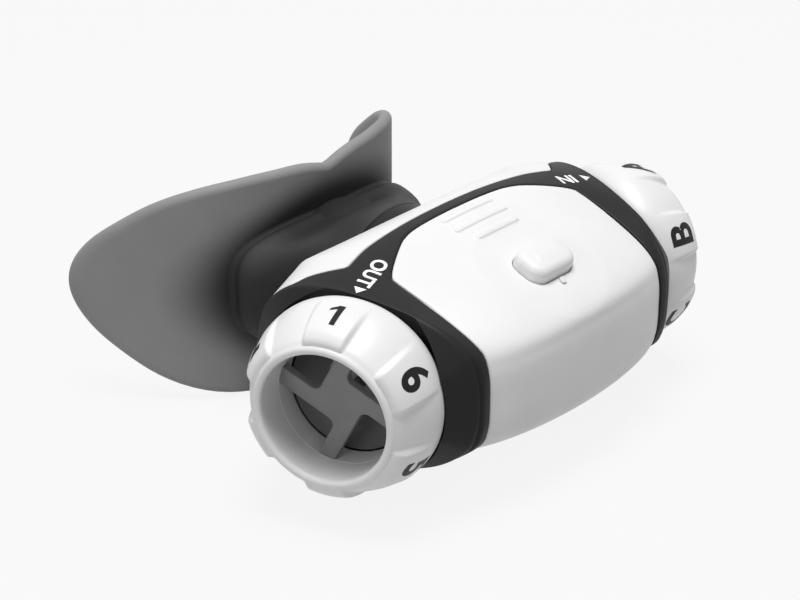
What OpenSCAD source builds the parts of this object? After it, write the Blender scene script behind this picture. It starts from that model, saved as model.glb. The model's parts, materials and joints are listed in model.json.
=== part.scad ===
// Hand-held breathing trainer: a black frame with two turning dials, white shells,
// a removable electronics unit in front and a silicone mouthpiece behind.
// X runs along the two dials, +Y points at the user, +Z is up.

/* [Body] */
// Depth from the dial line to the front face, at the middle
front_depth = 20; // [19:0.1:21.5]
// Half height of the body at the middle
mid_height = 17.1; // [16.6:0.1:17.9]
// Depth from the dial line to the front face, at the waist beside the dials
waist_depth = 17.8; // [17.4:0.1:18.6]
// Half height of the body at the waist
waist_height = 15.5; // [14.8:0.1:16]
// Depth from the dial's axis to the front of the body's end
end_depth = 19; // [18.6:0.1:19.6]
// Half height of the body's end
end_height = 14.4; // [14.2:0.1:15]
// Distance from a dial's widest line back to the edge of the body's end
end_back = 3.5; // [3.3:0.1:3.7]
// Wall of the white shells
shell_wall = 1.5; // [1.3:0.05:1.6]
// Wall of the black frame
frame_wall = 1.4; // [1.2:0.05:1.6]
// Gap between a shell and the frame
seam_gap = 0.12; // [0.1:0.01:0.2]

/* [Dials] */
// Distance from the middle to each dial's back
dial_x = 32; // [31.5:0.1:33]
// Angle by which each dial turns its face to the front
dial_yaw = 16.2; // [15:0.1:17]
// Radius of a dial at its back
dial_r = 15; // [14.7:0.1:15.2]
// Length of a dial outside the body
dial_len = 9; // [8.5:0.1:10]
// Radius of the front lip
lip_r = 11.3; // [11:0.1:11.8]
// Radius of the raised grips at their outer end
grip_r = 12.8; // [12.3:0.1:13.3]
// Number of settings, and of grips
settings = 6; // [5:1:8]
// Radius of the air port in a dial
port_r = 9.9; // [9.4:0.05:10.1]
// Depth of the port down to the spider
port_depth = 6; // [5:0.1:6.5]
// Width of a spider arm
arm_w = 2.4; // [2:0.1:3]
// Thickness of the spider
arm_t = 1.4; // [1:0.1:1.8]

/* [Airway] */
// Outer radius of the journals that the dials turn on
journal_r = 10.5; // [10.3:0.05:10.7]
// Radius of the air duct
duct_r = 8.8; // [8:0.1:9]
// Outer radius of the spigot for the mouthpiece
spigot_r = 11; // [10.5:0.1:11.3]
// Radius of the airway in the spigot
spigot_bore_r = 9.2; // [8.5:0.1:9.4]
// Distance from the dial line to the end of the spigot
spigot_end = 30.5; // [28:0.1:31.5]
// Running gap on a radius
run_gap = 0.06; // [0.04:0.01:0.08]

/* [Mouthpiece] */
// Half width of the flange
flange_half_w = 34; // [32:0.5:36]
// Half height of the flange
flange_half_h = 18.7; // [18.2:0.1:19.5]
// Distance from the dial line to the middle of the flange
flange_y = 32.7; // [32.2:0.1:34]
// Distance from the dial line to the tips of the flange
flange_tip_y = 58.8; // [57:0.1:60]
// Thickness of the flange
flange_t = 2.2; // [1.8:0.1:2.6]
// Half width of the oval neck behind the flange
neck_half_w = 17; // [16:0.1:18]
// Half height of the oval neck behind the flange
neck_half_h = 12; // [11.9:0.1:12.6]

/* [Electronics] */
// Length of the power button
button_w = 9.6; // [9:0.1:10.5]
// Width of the power button
button_d = 6.2; // [5.8:0.1:6.8]
// Height of the button above the dish
button_h = 2.3; // [2:0.1:2.8]
// Travel of the button
button_travel = 0.6; // [0.4:0.05:0.7]
// Radius of the round dish that holds the button
dish_r = 10.7; // [9.5:0.1:11.5]
// Depth of the dish
dish_depth = 0.6; // [0.4:0.05:0.7]
// Slope of the shell under the button
button_tilt = 22; // [20:1:25]
// Distance from the dial line to the button
button_y = 10.3; // [9.8:0.1:11]
// Length of the battery
battery_w = 22; // [18:0.5:24]
// Height of the battery
battery_h = 12; // [10:0.5:13]
// Thickness of the battery
battery_t = 3.4; // [3:0.1:3.6]
// Thickness of the circuit board
board_t = 1; // [0.8:0.1:1.2]

/* [Hidden] */
$fn = 64;
eps = 0.01;
overrun = 8;

// Outline of half a section, from the front to the rear, as shares of its depth and height
mid_shares = [[1, 0], [0.985, 0.3], [0.915, 0.495], [0.55, 0.735], [0.05, 0.925],
    [-0.33, 1], [-0.62, 0.925], [-0.85, 0.71], [-0.94, 0.36], [-0.96, 0]];
waist_shares = [[1, 0], [0.985, 0.3], [0.89, 0.51], [0.56, 0.71], [0.04, 0.915], [-0.36, 1],
    [-0.72, 0.955], [-0.94, 0.8], [-1.02, 0.45], [-1.04, 0]];
end_shares = [[1, 0], [0.979, 0.306], [0.889, 0.549], [0.626, 0.792], [0.21, 0.94],
    [-0.21, 0.997], [-0.568, 0.924], [-0.79, 0.69], [-0.874, 0.347], [-0.89, 0]];
section_steps = 3;
waist_share = 0.78;
turn_power = 4.3;
crest_r = 1;
crest_steps = 3;
end_slope = 49;
end_wall = 1.8;
// Where the sections of the outer skin stand, as shares of the half length
skin_share = [0, 0.19, 0.38, 0.57, 0.7, 0.78, 0.86, 0.93];
lining_share = [0, 0.28, 0.55, 0.78];

// Seams between the front shell, the frame and the rear shell
seam_x = 20.9;
seam_rise = 7.4;
seam_flare = 0.18;
front_seam_y = 6.5;
front_seam_x = 22.2;
front_seam_shares = [[0, 1], [0.25, 1], [0.47, 0.97], [0.6, 0.87], [0.7, 0.71], [0.82, 0.48],
    [0.92, 0.27], [0.98, 0.1], [1, -0.04]];
rear_seam_y = 9.2;
rear_seam_x = 24.2;
rear_seam_shares = [[0, 1], [0.4, 0.99], [0.75, 0.92], [0.92, 0.815], [1, 0.77], [1.04, 0.83],
    [1.1, 0.98], [1.19, 1.2], [1.25, 1.29], [1.275, 1.38], [1.31, 1.68], [1.4, 2.5]];

// Airway
axis_cross_y = dial_x * tan(dial_yaw);
journal_end = 1.9;
journal_wall_step = 0.25;
collar_bore_gap = 0.35;
sleeve_wall = 1.9;
sleeve_len = 7.6;
sleeve_r = journal_r + run_gap + sleeve_wall;
shell_hole_gap = 0.2;
spigot_collar_r = 13.1;
spigot_collar_from = 12.5;
spigot_collar_end = 19.3;

// Dial
grip_share = 0.9;
grip_angle = 30;
taper_power = 1.7;
grip_power = 2.3;
profile_steps = 10;
lip_round = 0.7;
port_step = 0.25;
spider_turn = 12;
hub_r = 2.6;
arm_fillet = 1.2;
dial_back_gap = 0.15;
dial_side_gap = 0.2;
dial_back_taper = 1.6;
notch_r = 0.8;
notch_depth = 0.35;
spider_z = dial_len - port_depth - arm_t;

// Valves
seat_t = 1.2;
seat_z = -4.3;
seat_hole_r = 2.1;
seat_pitch_r = 5.2;
membrane_r = 7.9;
membrane_t = 0.5;
valve_lift = 0.8;
pin_r = 0.9;
plate_t = 0.8;
plate_gap = 0.3;
window_pitch_r = 5.2;
window_r = 2.4;

// Seals and clips
ring_r = 0.55;
ring_z = -4.6;
clip_t = 0.7;
clip_z = -3.1;
clip_out = 0.5;
clip_in = 0.7;
clip_gap = 0.08;
spring_t = 0.3;
spring_w = 1.8;
spring_turn = 30;
spring_gap = 0.1;
spring_nose_r = 0.9;
spring_reach = 1.2;
spring_post = 1.1;

// Neck and flange of the mouthpiece
soft_gap = 0.3;
neck_root_y = 19.6;
neck_root_r = 13.1;
neck_steps = 40;
neck_ring_shares = [[0, 0], [0.12, 0.1], [0.35, 0.3], [0.6, 0.66], [0.8, 0.93], [1, 1]];
rim_lip = 1.1;
flange_tip_share = 0.245;
flange_bow_share = 0.24;
flange_cols = 34;
flange_rows = 8;
outline_shares = [[0, 0.905], [0.06, 0.92], [0.26, 0.99], [0.46, 1], [0.66, 0.945], [0.81, 0.8],
    [0.89, 0.66], [0.95, 0.48], [0.985, 0.26], [1, 0]];
airway_half_w = 8.2;
airway_half_h = 5;
airway_round = 2.4;
bite_w = 8;
bite_t = 3.2;
bite_len = 7;
bite_x = 15.5;
bite_web = 1.6;

// Electronics unit
plate_y = 9.2;
carrier_t = 1.4;
carrier_half_w = seam_x - shell_wall;
carrier_half_h = 9;
carrier_r = 3;
boss_x = carrier_half_w - carrier_r;
boss_z = 6;
boss_r = 1.7;
boss_front = 3.2;
pilot_r = 0.6;
screw_r = 0.8;
screw_gap = 0.1;
screw_head_r = 1.4;
screw_head_t = 0.9;
screw_len = 4.4;
slot_w = 0.4;
peg_x = 6.8;
peg_r = 1.3;
peg_len = 4;
socket_wall = 1.1;
socket_len = 4.3;
nozzle_r = 1.4;
nozzle_bore_r = 0.6;
nozzle_len = 4.4;
sensor_w = 5;
sensor_h = 5;
board_gap = 2.3;
board_rim = 1.2;
board_half_w = carrier_half_w - board_rim;
battery_x = -4;
board_half_h = 5;
standoff_r = 1.1;
standoff_x = 6;
standoff_z = 3.6;
usb_w = 7.6;
usb_h = 3;
usb_len = 5.4;
usb_wall = 0.35;
usb_x = board_half_w - board_rim - usb_w / 2;
usb_gap = 0.1;
switch_w = 4.4;
switch_d = 3.2;
switch_t = 1.5;
stem_r = 0.9;
stem_t = 0.5;
shelf_t = 1.1;
shelf_w = 7;
button_corner = 2.3;
button_gap = 0.16;
button_flange = 0.8;
button_flange_t = 0.7;
button_crown = 14;
light_y = 14.1;
light_r = 0.55;
light_len = 1.6;
light_ring = 0.12;
light_tilt = 32;
rib_w = 1;
rib_h = 0.14;
rib_y = 4.7;
rib_pitch = 2.9;
rib_lens = [12, 12.4, 9.8];
rib_mids = [0, -0.2, 0.1];

// Frame screws into the rear shell
tab_x = 11.6;
tab_z = 12.1;
tab_y = 7;
tab_t = 1.4;
post_r = 1.55;
ledge_front = 4.5;
ledge_rear = 14.5;
ledge_half_w = 19.5;

front_reach = front_depth;
centre_y = (flange_tip_y + flange_t * flange_tip_share - front_reach) / 2;

function mix(a, b, t) = a + (b - a) * t;

// One point of a smooth curve through four points
function curve_point(a, b, c, d, t) =
    0.5 * (2 * b + (c - a) * t + (2 * a - 5 * b + 4 * c - d) * t * t
        + (3 * b - a - 3 * c + d) * t * t * t);

function smooth_loop(p, steps) =
    let (n = len(p))
    [for (i = [0 : n - 1], k = [0 : steps - 1])
        curve_point(p[(i + n - 1) % n], p[i], p[(i + 1) % n], p[(i + 2) % n], k / steps)];

function smooth_line(p, steps) =
    let (n = len(p))
    concat([for (i = [0 : n - 2], k = [0 : steps - 1])
        curve_point(p[max(i - 1, 0)], p[i], p[i + 1], p[min(i + 2, n - 1)], k / steps)], [p[n - 1]]);

function mirrored_loop(half) =
    concat(half, [for (i = [len(half) - 2 : -1 : 1]) [half[i].x, -half[i].y]]);

function scaled(shares, depth, height) = [for (q = shares) [q.x * depth, q.y * height]];

// Half outline of the body at a share of its half length
function half_section(s) =
    let (middle = scaled(mid_shares, front_depth, mid_height),
        waist = scaled(waist_shares, waist_depth, waist_height),
        end = scaled(end_shares, end_depth, end_height),
        to_waist = min(s / waist_share, 1),
        to_end = max((s - waist_share) / (1 - waist_share), 0))
    [for (i = [0 : len(middle) - 1])
        mix(mix(middle[i], waist[i], pow(to_waist, 2)), end[i], to_end)];

// A loop moved inward along its own normals
function inset_loop(p, d) =
    let (n = len(p))
    [for (i = [0 : n - 1])
        let (t = p[(i + 1) % n] - p[(i + n - 1) % n], l = norm(t))
        p[i] - d * [t.y, -t.x] / l];

function section(s, inset) =
    inset_loop(smooth_loop(mirrored_loop(half_section(s)), section_steps), inset);

// A section stood up in space, its plane turning from square to the dial's own plane
function ring(s, inset, back, side) =
    let (to_dial = pow(s, turn_power),
        turn = dial_yaw * to_dial,
        x0 = s * (dial_x - back * cos(dial_yaw)),
        y0 = to_dial * back * sin(dial_yaw))
    [for (q = section(s, inset)) [side * (x0 - q.x * sin(turn)), y0 - q.x * cos(turn), q.y]];

module skin(rings) {
    n = len(rings[0]);
    m = len(rings);
    points = [for (r = rings) each r];
    sides = [for (j = [0 : m - 2], i = [0 : n - 1])
        let (a = j * n + i, b = j * n + (i + 1) % n)
        each [[a, b, a + n], [b, b + n, a + n]]];
    start = [for (i = [n - 1 : -1 : 0]) i];
    finish = [for (i = [0 : n - 1]) (m - 1) * n + i];
    polyhedron(points, concat([start, finish], sides));
}

// The skin's sections, the rounded edge of the end and the slope from there up to the dial
function half_rings(side) = concat(
    [for (s = skin_share) ring(s, 0, end_back, side)],
    [for (k = [0 : crest_steps]) let (a = end_slope * k / crest_steps)
        ring(1, crest_r * (1 - cos(a)), end_back + crest_r * (tan(end_slope / 2) - sin(a)), side)],
    [ring(1, (end_back - dial_back_gap) * tan(end_slope), dial_back_gap, side)]);

function reversed(p) = [for (i = [len(p) - 1 : -1 : 0]) p[i]];

// The body's outer skin
module body_skin() {
    left = half_rings(-1);
    right = half_rings(1);
    skin(concat(reversed(left), [for (i = [1 : len(right) - 1]) right[i]]));
}

// The same form, an even depth inside the skin
module body_lining(inset) {
    right = lining_rings(inset, 1);
    left = lining_rings(inset, -1);
    skin(concat(reversed(left), [for (i = [1 : len(right) - 1]) right[i]]));
}

function lining_rings(inset, side) = concat(
    [for (s = lining_share) ring(s, inset, end_back, side)],
    [ring(1, inset, end_back + end_wall, side)]);

function mirrored_edge(half) =
    concat([for (q = reversed(half)) [-q.x, q.y]], [for (i = [1 : len(half) - 1]) half[i]]);

// Space of the electronics unit, which slides out to the front
module front_space(gap) {
    edge = mirrored_edge(smooth_line(scaled(front_seam_shares, front_seam_x - gap, front_seam_y - gap), 2));
    reach = front_seam_x + overrun;
    top = mid_height + overrun;
    side_top = seam_x + seam_flare * (top - seam_rise);
    intersection() {
        translate([0, 0, -top])
            linear_extrude(2 * top)
                polygon(concat(edge, [[reach, edge[len(edge) - 1].y], [reach, -front_depth - overrun],
                    [-reach, -front_depth - overrun], [-reach, edge[0].y]]));
        rotate([90, 0, 0])
            translate([0, 0, -front_seam_y - overrun])
                linear_extrude(front_depth + front_seam_y + 3 * overrun)
                    polygon([[seam_x - gap, -seam_rise], [seam_x - gap, seam_rise], [side_top - gap, top],
                        [gap - side_top, top], [gap - seam_x, seam_rise], [gap - seam_x, -seam_rise],
                        [gap - side_top, -top], [side_top - gap, -top]]);
    }
}

// Space of the rear shell
module rear_space(gap) {
    half = [for (q = scaled(rear_seam_shares, rear_seam_x, rear_seam_y)) [q.x, q.y + gap]];
    edge = mirrored_edge(smooth_line(half, 3));
    top = mid_height + overrun;
    translate([0, 0, -top])
        linear_extrude(2 * top)
            polygon(concat([[-dial_x - overrun, front_depth + overrun]], edge,
                [[dial_x + overrun, front_depth + overrun]]));
}

// Moves the dial line's frame to the middle of the whole object
module placed() {
    translate([0, -centre_y, 0]) children();
}

// Height of the body's top at the middle, at a distance behind the dial line
function top_at(y) =
    let (p = section(0, 0))
    [for (i = [0 : len(p) / 2 - 1]) if (p[i].x >= -y && p[i + 1].x < -y)
        mix(p[i].y, p[i + 1].y, (p[i].x + y) / (p[i].x - p[i + 1].x))][0];

// A dial's own frame: +Z out of the dial, its back at zero
module at_dial(side) {
    translate([side * dial_x, 0, 0])
        rotate([0, 0, side > 0 ? -dial_yaw : 180 + dial_yaw])
            rotate([0, 90, 0])
                children();
}

// The button's own frame: +Z out of the sloping shell
module at_button() {
    translate([0, -button_y, top_at(-button_y)]) rotate([button_tilt, 0, 0]) children();
}

module rod(r, from, to) {
    translate([0, 0, from]) cylinder(r = r, h = to - from);
}

// A rod that lies along +Y
module rod_y(x, z, r, from, to) {
    translate([x, to, z]) rotate([90, 0, 0]) cylinder(r = r, h = to - from);
}

module slab(w, d, t, r) {
    linear_extrude(t) {
        square([w - 2 * r, d], center = true);
        square([w, d - 2 * r], center = true);
        for (x = [-1, 1], y = [-1, 1]) translate([x * (w / 2 - r), y * (d / 2 - r)]) circle(r);
    }
}

// A plate that stands across Y, from its front face back
module standing_slab(w, h, y, t, r) {
    translate([0, y + t, 0]) rotate([90, 0, 0]) slab(w, h, t, r);
}

// Black frame: two ends, the bridges over and under, and the ledges that carry the shells
module frame() {
    lining = shell_wall + frame_wall;
    color([0.13, 0.13, 0.14]) placed() difference() {
        union() {
            difference() {
                body_skin();
                front_space(-seam_gap / 2);
                rear_space(-seam_gap / 2);
                body_lining(lining);
            }
            intersection() {
                difference() {
                    body_lining(shell_wall + seam_gap);
                    body_lining(lining);
                }
                translate([-ledge_half_w, -ledge_front, -mid_height])
                    cube([2 * ledge_half_w, ledge_front + ledge_rear, 2 * mid_height]);
            }
            frame_tabs();
            for (side = [-1, 1]) at_dial(side) rotate(spring_angle(side)) spring_posts();
        }
        for (side = [-1, 1]) at_dial(side) {
            rod(sleeve_r + collar_bore_gap, -overrun, overrun);
            rod(dial_r + dial_side_gap, -end_back, overrun);
            rotate(spring_angle(side)) spring_slot();
        }
        rod_y(0, 0, spigot_collar_r + shell_hole_gap, 0, front_depth + overrun);
        for (x = [-1, 1], z = [-1, 1]) {
            rod_y(x * tab_x, z * tab_z, screw_r + screw_gap, tab_y - eps, tab_y + tab_t + eps);
            rod_y(x * tab_x, z * tab_z, screw_head_r + screw_gap, tab_y - overrun, tab_y);
            rod_y(x * tab_x, z * tab_z, post_r + shell_hole_gap, tab_y + tab_t, ledge_rear + eps);
        }
    }
}

function spring_base() = sleeve_r + spring_gap + spring_nose_r;
function spring_low() = -end_back - end_wall - spring_w - spring_gap;

// Two posts that hold the ends of a click spring
module spring_posts() {
    for (y = [-1, 1])
        translate([spring_base() - spring_post / 2, y * 2 * spring_reach - spring_post / 2, spring_low()])
            cube([spring_t + spring_post, spring_post, spring_w + 2 * spring_gap]);
}

// The slot through both posts
module spring_slot() {
    translate([spring_base() - spring_gap / 2, -2 * spring_reach - spring_gap, spring_low() - spring_gap])
        cube([spring_t + spring_gap, 4 * spring_reach + 2 * spring_gap, spring_w + 2 * spring_gap]);
}

// Tabs that hang from the bridges and take the screws
module frame_tabs() {
    intersection() {
        body_lining(shell_wall + seam_gap);
        for (x = [-1, 1], z = [-1, 1]) {
            rod_y(x * tab_x, z * tab_z, post_r, tab_y, tab_y + tab_t);
            translate([x * tab_x - post_r, tab_y, z > 0 ? tab_z : -mid_height])
                cube([2 * post_r, tab_t, mid_height - tab_z]);
        }
    }
}

module rear_shell() {
    color([0.93, 0.93, 0.92]) placed() difference() {
        union() {
            intersection() {
                difference() {
                    body_skin();
                    body_lining(shell_wall);
                }
                rear_space(seam_gap / 2);
            }
            intersection() {
                body_lining(shell_wall - eps);
                for (x = [-1, 1], z = [-1, 1])
                    rod_y(x * tab_x, z * tab_z, post_r, tab_y + tab_t, front_depth);
            }
        }
        for (side = [-1, 1]) at_dial(side) {
            rod(dial_r + dial_side_gap, -end_back, overrun);
            rod(sleeve_r + collar_bore_gap, -sleeve_len - collar_bore_gap, overrun);
        }
        rod_y(0, 0, spigot_collar_r + shell_hole_gap, 0, front_depth + overrun);
        for (x = [-1, 1], z = [-1, 1])
            rod_y(x * tab_x, z * tab_z, pilot_r, tab_y, tab_y + tab_t + screw_len);
    }
}

module button_opening(gap) {
    slab(button_w + 2 * gap, button_d + 2 * gap, overrun, button_corner + gap);
}

module front_shell() {
    dish_ball = (dish_r * dish_r + dish_depth * dish_depth) / (2 * dish_depth);
    color([0.94, 0.94, 0.93]) placed() difference() {
        union() {
            intersection() {
                difference() {
                    body_skin();
                    body_lining(shell_wall);
                }
                front_space(seam_gap / 2);
            }
            intersection() {
                body_lining(shell_wall - eps);
                for (x = [-1, 1], z = [-1, 1])
                    rod_y(x * boss_x, z * boss_z, boss_r, -front_depth, -plate_y);
            }
            for (i = [0 : len(rib_lens) - 1])
                translate([rib_mids[i], rib_y - i * rib_pitch, rib_top(i) - shell_wall / 2])
                    slab(rib_lens[i], rib_w, shell_wall / 2 + rib_h, rib_w / 2 - eps);
        }
        at_button() {
            translate([0, 0, dish_ball - dish_depth]) sphere(r = dish_ball, $fn = 96);
            translate([0, 0, -overrun / 2]) button_opening(button_gap);
        }
        at_light() rod(light_r + light_ring, -shell_wall / 3, overrun / 2);
        at_light() rod(light_r + run_gap / 4, -overrun / 2, 0);
        for (x = [-1, 1], z = [-1, 1])
            rod_y(x * boss_x, z * boss_z, pilot_r, -plate_y - boss_front, -plate_y + eps);
    }
}

function rib_top(i) = top_at(rib_y - i * rib_pitch);

// The status light's own frame: +Z out of the sloping shell
module at_light() {
    translate([0, -light_y, top_at(-light_y)]) rotate([light_tilt, 0, 0]) children();
}

// Black airway: two journals, the spigot, and the seats for the electronics unit
module airway_body() {
    reach = axis_cross_y / sin(dial_yaw);
    color([0.2, 0.2, 0.21]) placed() difference() {
        union() {
            for (side = [-1, 1]) at_dial(side) rod(journal_r, -reach, -journal_end);
            rod_y(0, 0, spigot_r, axis_cross_y, spigot_end);
            rod_y(0, 0, spigot_collar_r, spigot_collar_from, spigot_collar_end);
            for (x = [-1, 1]) rod_y(x * peg_x, 0, peg_r + socket_wall, -peg_socket_y(), 0);
            rod_y(0, 0, nozzle_r + socket_wall + ring_r, -nozzle_seat_y(), 0);
        }
        for (side = [-1, 1]) at_dial(side) {
            rod(duct_r, -reach, overrun);
            rod(duct_r + plate_gap, -journal_end - plate_t, overrun);
            rod(seat_rim(), seat_z - seat_t - membrane_space(), overrun);
            translate([0, 0, ring_z]) rotate_extrude() translate([journal_r, 0]) circle(ring_r);
            translate([0, 0, clip_z]) clip_groove();
        }
        rod_y(0, 0, spigot_bore_r, axis_cross_y, spigot_end + overrun);
        for (x = [-1, 1]) rod_y(x * peg_x, 0, peg_r + run_gap, -peg_socket_y() - overrun, socket_floor());
        rod_y(0, 0, nozzle_r + run_gap, -nozzle_seat_y() - overrun, axis_cross_y);
    }
}

function seat_rim() = duct_r + journal_wall_step;
function membrane_space() = membrane_t + valve_lift + plate_gap;
function peg_socket_y() = plate_y - carrier_t - plate_gap;
function socket_floor() = -peg_socket_y() + socket_len;
function nozzle_seat_y() = plate_y - carrier_t - plate_gap;

// Groove in a journal for the snap ring
module clip_groove() {
    difference() {
        rod(journal_r + clip_out, -clip_gap, clip_t + clip_gap);
        rod(journal_r - clip_in, -overrun, overrun);
    }
}

module carrier_plate() {
    color([0.16, 0.16, 0.17]) placed() difference() {
        union() {
            standing_slab(2 * carrier_half_w, 2 * carrier_half_h, -plate_y, carrier_t, carrier_r);
            for (x = [-1, 1]) rod_y(x * peg_x, 0, peg_r, -plate_y + eps, -plate_y + carrier_t + peg_len);
            for (x = [-1, 1], z = [-1, 1])
                rod_y(x * standoff_x, z * standoff_z, standoff_r, -plate_y - board_gap, -plate_y + eps);
            switch_shelf();
        }
        for (x = [-1, 1], z = [-1, 1])
            rod_y(x * boss_x, z * boss_z, screw_r + screw_gap, -plate_y - overrun, 0);
        at_button() translate([0, -shelf_t, -switch_depth() - switch_t])
            slab(shelf_w + usb_gap, switch_d + overrun, overrun, shelf_t / 2);
        rod_y(0, 0, nozzle_r + usb_gap, -plate_y - overrun, 0);
        translate([usb_x, -plate_y, 0])
            cube([usb_w + 2 * usb_gap, overrun, usb_h + 2 * usb_gap], center = true);
    }
}

// Depth below the shell's surface at which the switch stands
function switch_depth() = dish_depth + shell_wall + button_flange_t + button_travel + stem_t;

module switch_shelf() {
    at_button() translate([0, -shelf_t, -switch_depth() - switch_t - shelf_t])
        slab(shelf_w, switch_d + 2 * shelf_t, shelf_t, shelf_t / 2);
}

module button_switch() {
    color([0.75, 0.75, 0.74]) placed() at_button() {
        translate([0, 0, -switch_depth() - switch_t]) slab(switch_w, switch_d, switch_t, slot_w);
        rod(stem_r, -switch_depth() - eps, -switch_depth() + stem_t - plate_gap - run_gap);
    }
}

module power_button() {
    top = button_h - dish_depth;
    color([0.95, 0.95, 0.94]) placed() at_button() {
        intersection() {
            translate([0, 0, -dish_depth - shell_wall])
                slab(button_w, button_d, top + dish_depth + shell_wall, button_corner);
            translate([0, 0, top - button_crown]) sphere(r = button_crown, $fn = 96);
        }
        translate([0, 0, -dish_depth - shell_wall - button_flange_t - plate_gap])
            slab(button_w + 2 * button_flange, button_d + 2 * button_flange, button_flange_t,
                button_corner + button_flange);
        translate([0, 0, -dish_depth - shell_wall - plate_gap - eps])
            slab(button_w - button_flange, button_d - button_flange, plate_gap + 2 * eps,
                button_corner - button_flange / 2);
    }
}

module status_light() {
    color([0.8, 0.82, 0.85, 0.6]) placed() at_light() rod(light_r, -light_len, 0);
}

module circuit_board() {
    color([0.1, 0.32, 0.2]) placed() difference() {
        standing_slab(2 * board_half_w, 2 * board_half_h, -plate_y - board_gap - board_t, board_t, slot_w);
        translate([usb_x, -plate_y - board_gap, 0])
            cube([usb_w + 2 * usb_gap, 2 * board_t + eps, usb_h + 2 * usb_gap], center = true);
        for (x = [-1, 1], z = [-1, 1])
            rod_y(x * boss_x, z * boss_z, boss_r + 2 * usb_gap, -front_depth, 0);
    }
}

module battery() {
    front = -plate_y - board_gap - board_t - battery_t;
    color([0.72, 0.73, 0.75]) placed() translate([battery_x, 0, 0])
        standing_slab(battery_w, battery_h, front, battery_t, battery_t / 2 - eps);
}

// Pressure sensor on the board, its nozzle reaching into the airway
module pressure_sensor() {
    color([0.3, 0.3, 0.32]) placed() difference() {
        union() {
            standing_slab(sensor_w, sensor_h, -plate_y - board_gap, board_gap, slot_w);
            rod_y(0, 0, nozzle_r, -plate_y - eps, -plate_y + carrier_t + nozzle_len);
        }
        rod_y(0, 0, nozzle_bore_r, -plate_y - board_gap / 2, overrun);
        translate([0, -plate_y + carrier_t + plate_gap + 2 * ring_r, 0])
            rotate([90, 0, 0]) rotate_extrude() translate([nozzle_r, 0]) circle(ring_r / 2 + usb_gap);
    }
}

module sensor_seal() {
    color([0.1, 0.1, 0.1]) placed() translate([0, -plate_y + carrier_t + plate_gap + 2 * ring_r, 0])
        rotate([90, 0, 0]) rotate_extrude() difference() {
            translate([nozzle_r, 0]) circle(ring_r / 2);
            translate([nozzle_r + run_gap, -ring_r]) square([ring_r, 2 * ring_r]);
        }
}

// Socket for the charging lead, met when the electronics unit is off
module charging_socket() {
    back = -plate_y + carrier_t;
    color([0.7, 0.7, 0.72]) placed() translate([usb_x, back, 0]) rotate([90, 0, 0]) difference() {
        slab(usb_w, usb_h, usb_len, usb_h / 2 - eps);
        translate([0, 0, -eps])
            slab(usb_w - 2 * usb_wall, usb_h - 2 * usb_wall, usb_len - usb_wall, usb_h / 2 - usb_wall - eps);
    }
}

// Radius of a dial's side at a height, as a taper that steepens to the lip
function side_r(z, reach, end_r, power) = dial_r - (dial_r - end_r) * pow(z / reach, power);

function side_profile(reach, end_r, power) =
    [for (i = [0 : profile_steps]) let (z = reach * i / profile_steps) [side_r(z, reach, end_r, power), z]];

// Radius of a dial's back, which rounds in from the widest line
function back_profile(depth) =
    [for (a = [75 : -15 : 15]) [dial_r - dial_back_taper * (1 - cos(a)), -depth * sin(a)]];

module dial_body() {
    straight = dial_len - lip_round;
    back = end_back - dial_back_gap;
    rotate_extrude($fn = 96)
        polygon(concat([[port_r - dial_back_gap, -back], [dial_r - dial_back_taper, -back]],
            back_profile(back), side_profile(straight, lip_r, taper_power),
            [for (a = [20 : 20 : 160]) [mix(port_r, lip_r, 0.5 + cos(a) / 2), straight + lip_round * sin(a)]],
            [[port_r, straight]]));
}

// Raised grips, one for each setting
module dial_grips() {
    grip_end = dial_len * grip_share;
    for (i = [0 : settings - 1])
        intersection() {
            rotate_extrude($fn = 96)
                polygon(concat([[port_r + lip_round, 0]], side_profile(grip_end, grip_r, grip_power),
                    [[grip_r - lip_round, dial_len - lip_round], [port_r + lip_round, dial_len - lip_round]]));
            rotate(180 + i * 360 / settings)
                linear_extrude(dial_len)
                    polygon([[0, 0], [dial_r * 2, -dial_r * 2 * tan(grip_angle / 2)],
                        [dial_r * 2, dial_r * 2 * tan(grip_angle / 2)]]);
        }
}

// Four arms across the port, with filleted corners
module spider() {
    translate([0, 0, spider_z])
        linear_extrude(arm_t)
            intersection() {
                circle(port_r + eps);
                union() {
                    for (a = [0, 90]) rotate(a - spider_turn) square([3 * port_r, arm_w], center = true);
                    circle(hub_r);
                    for (a = [0 : 90 : 270]) rotate(a - spider_turn) translate([arm_w / 2, arm_w / 2])
                        difference() {
                            square(arm_fillet);
                            translate([arm_fillet, arm_fillet]) circle(arm_fillet);
                        }
                }
            }
}

module dial(side) {
    color([0.94, 0.94, 0.93]) placed() at_dial(side) difference() {
        union() {
            dial_body();
            dial_grips();
            rod(sleeve_r, -sleeve_len, spider_z + arm_t);
        }
        difference() {
            union() {
                rod(port_r, spider_z + arm_t, dial_len + overrun);
                rod(port_r - port_step, -journal_end - plate_t, spider_z + arm_t + eps);
            }
            spider();
        }
        rod(journal_r + run_gap, -sleeve_len - overrun, -journal_end + plate_t + plate_gap);
        rod(port_r - port_step, -overrun, spider_z);
        translate([0, 0, clip_z - clip_gap]) rod(journal_r + clip_out + clip_gap, 0, clip_t + 2 * clip_gap);
        for (i = [0 : settings - 1]) rotate(i * 360 / settings + spring_angle(side))
            translate([sleeve_r + notch_r - notch_depth, 0, -sleeve_len - eps])
                cylinder(r = notch_r, h = sleeve_len - end_back);
    }
}

// Direction of the click spring about the dial's axis: up and to the front
function spring_angle(side) = side > 0 ? 180 + 90 - spring_turn : 180 - 90 + spring_turn;

module out_dial() {
    dial(-1);
}

module in_dial() {
    dial(1);
}

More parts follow.
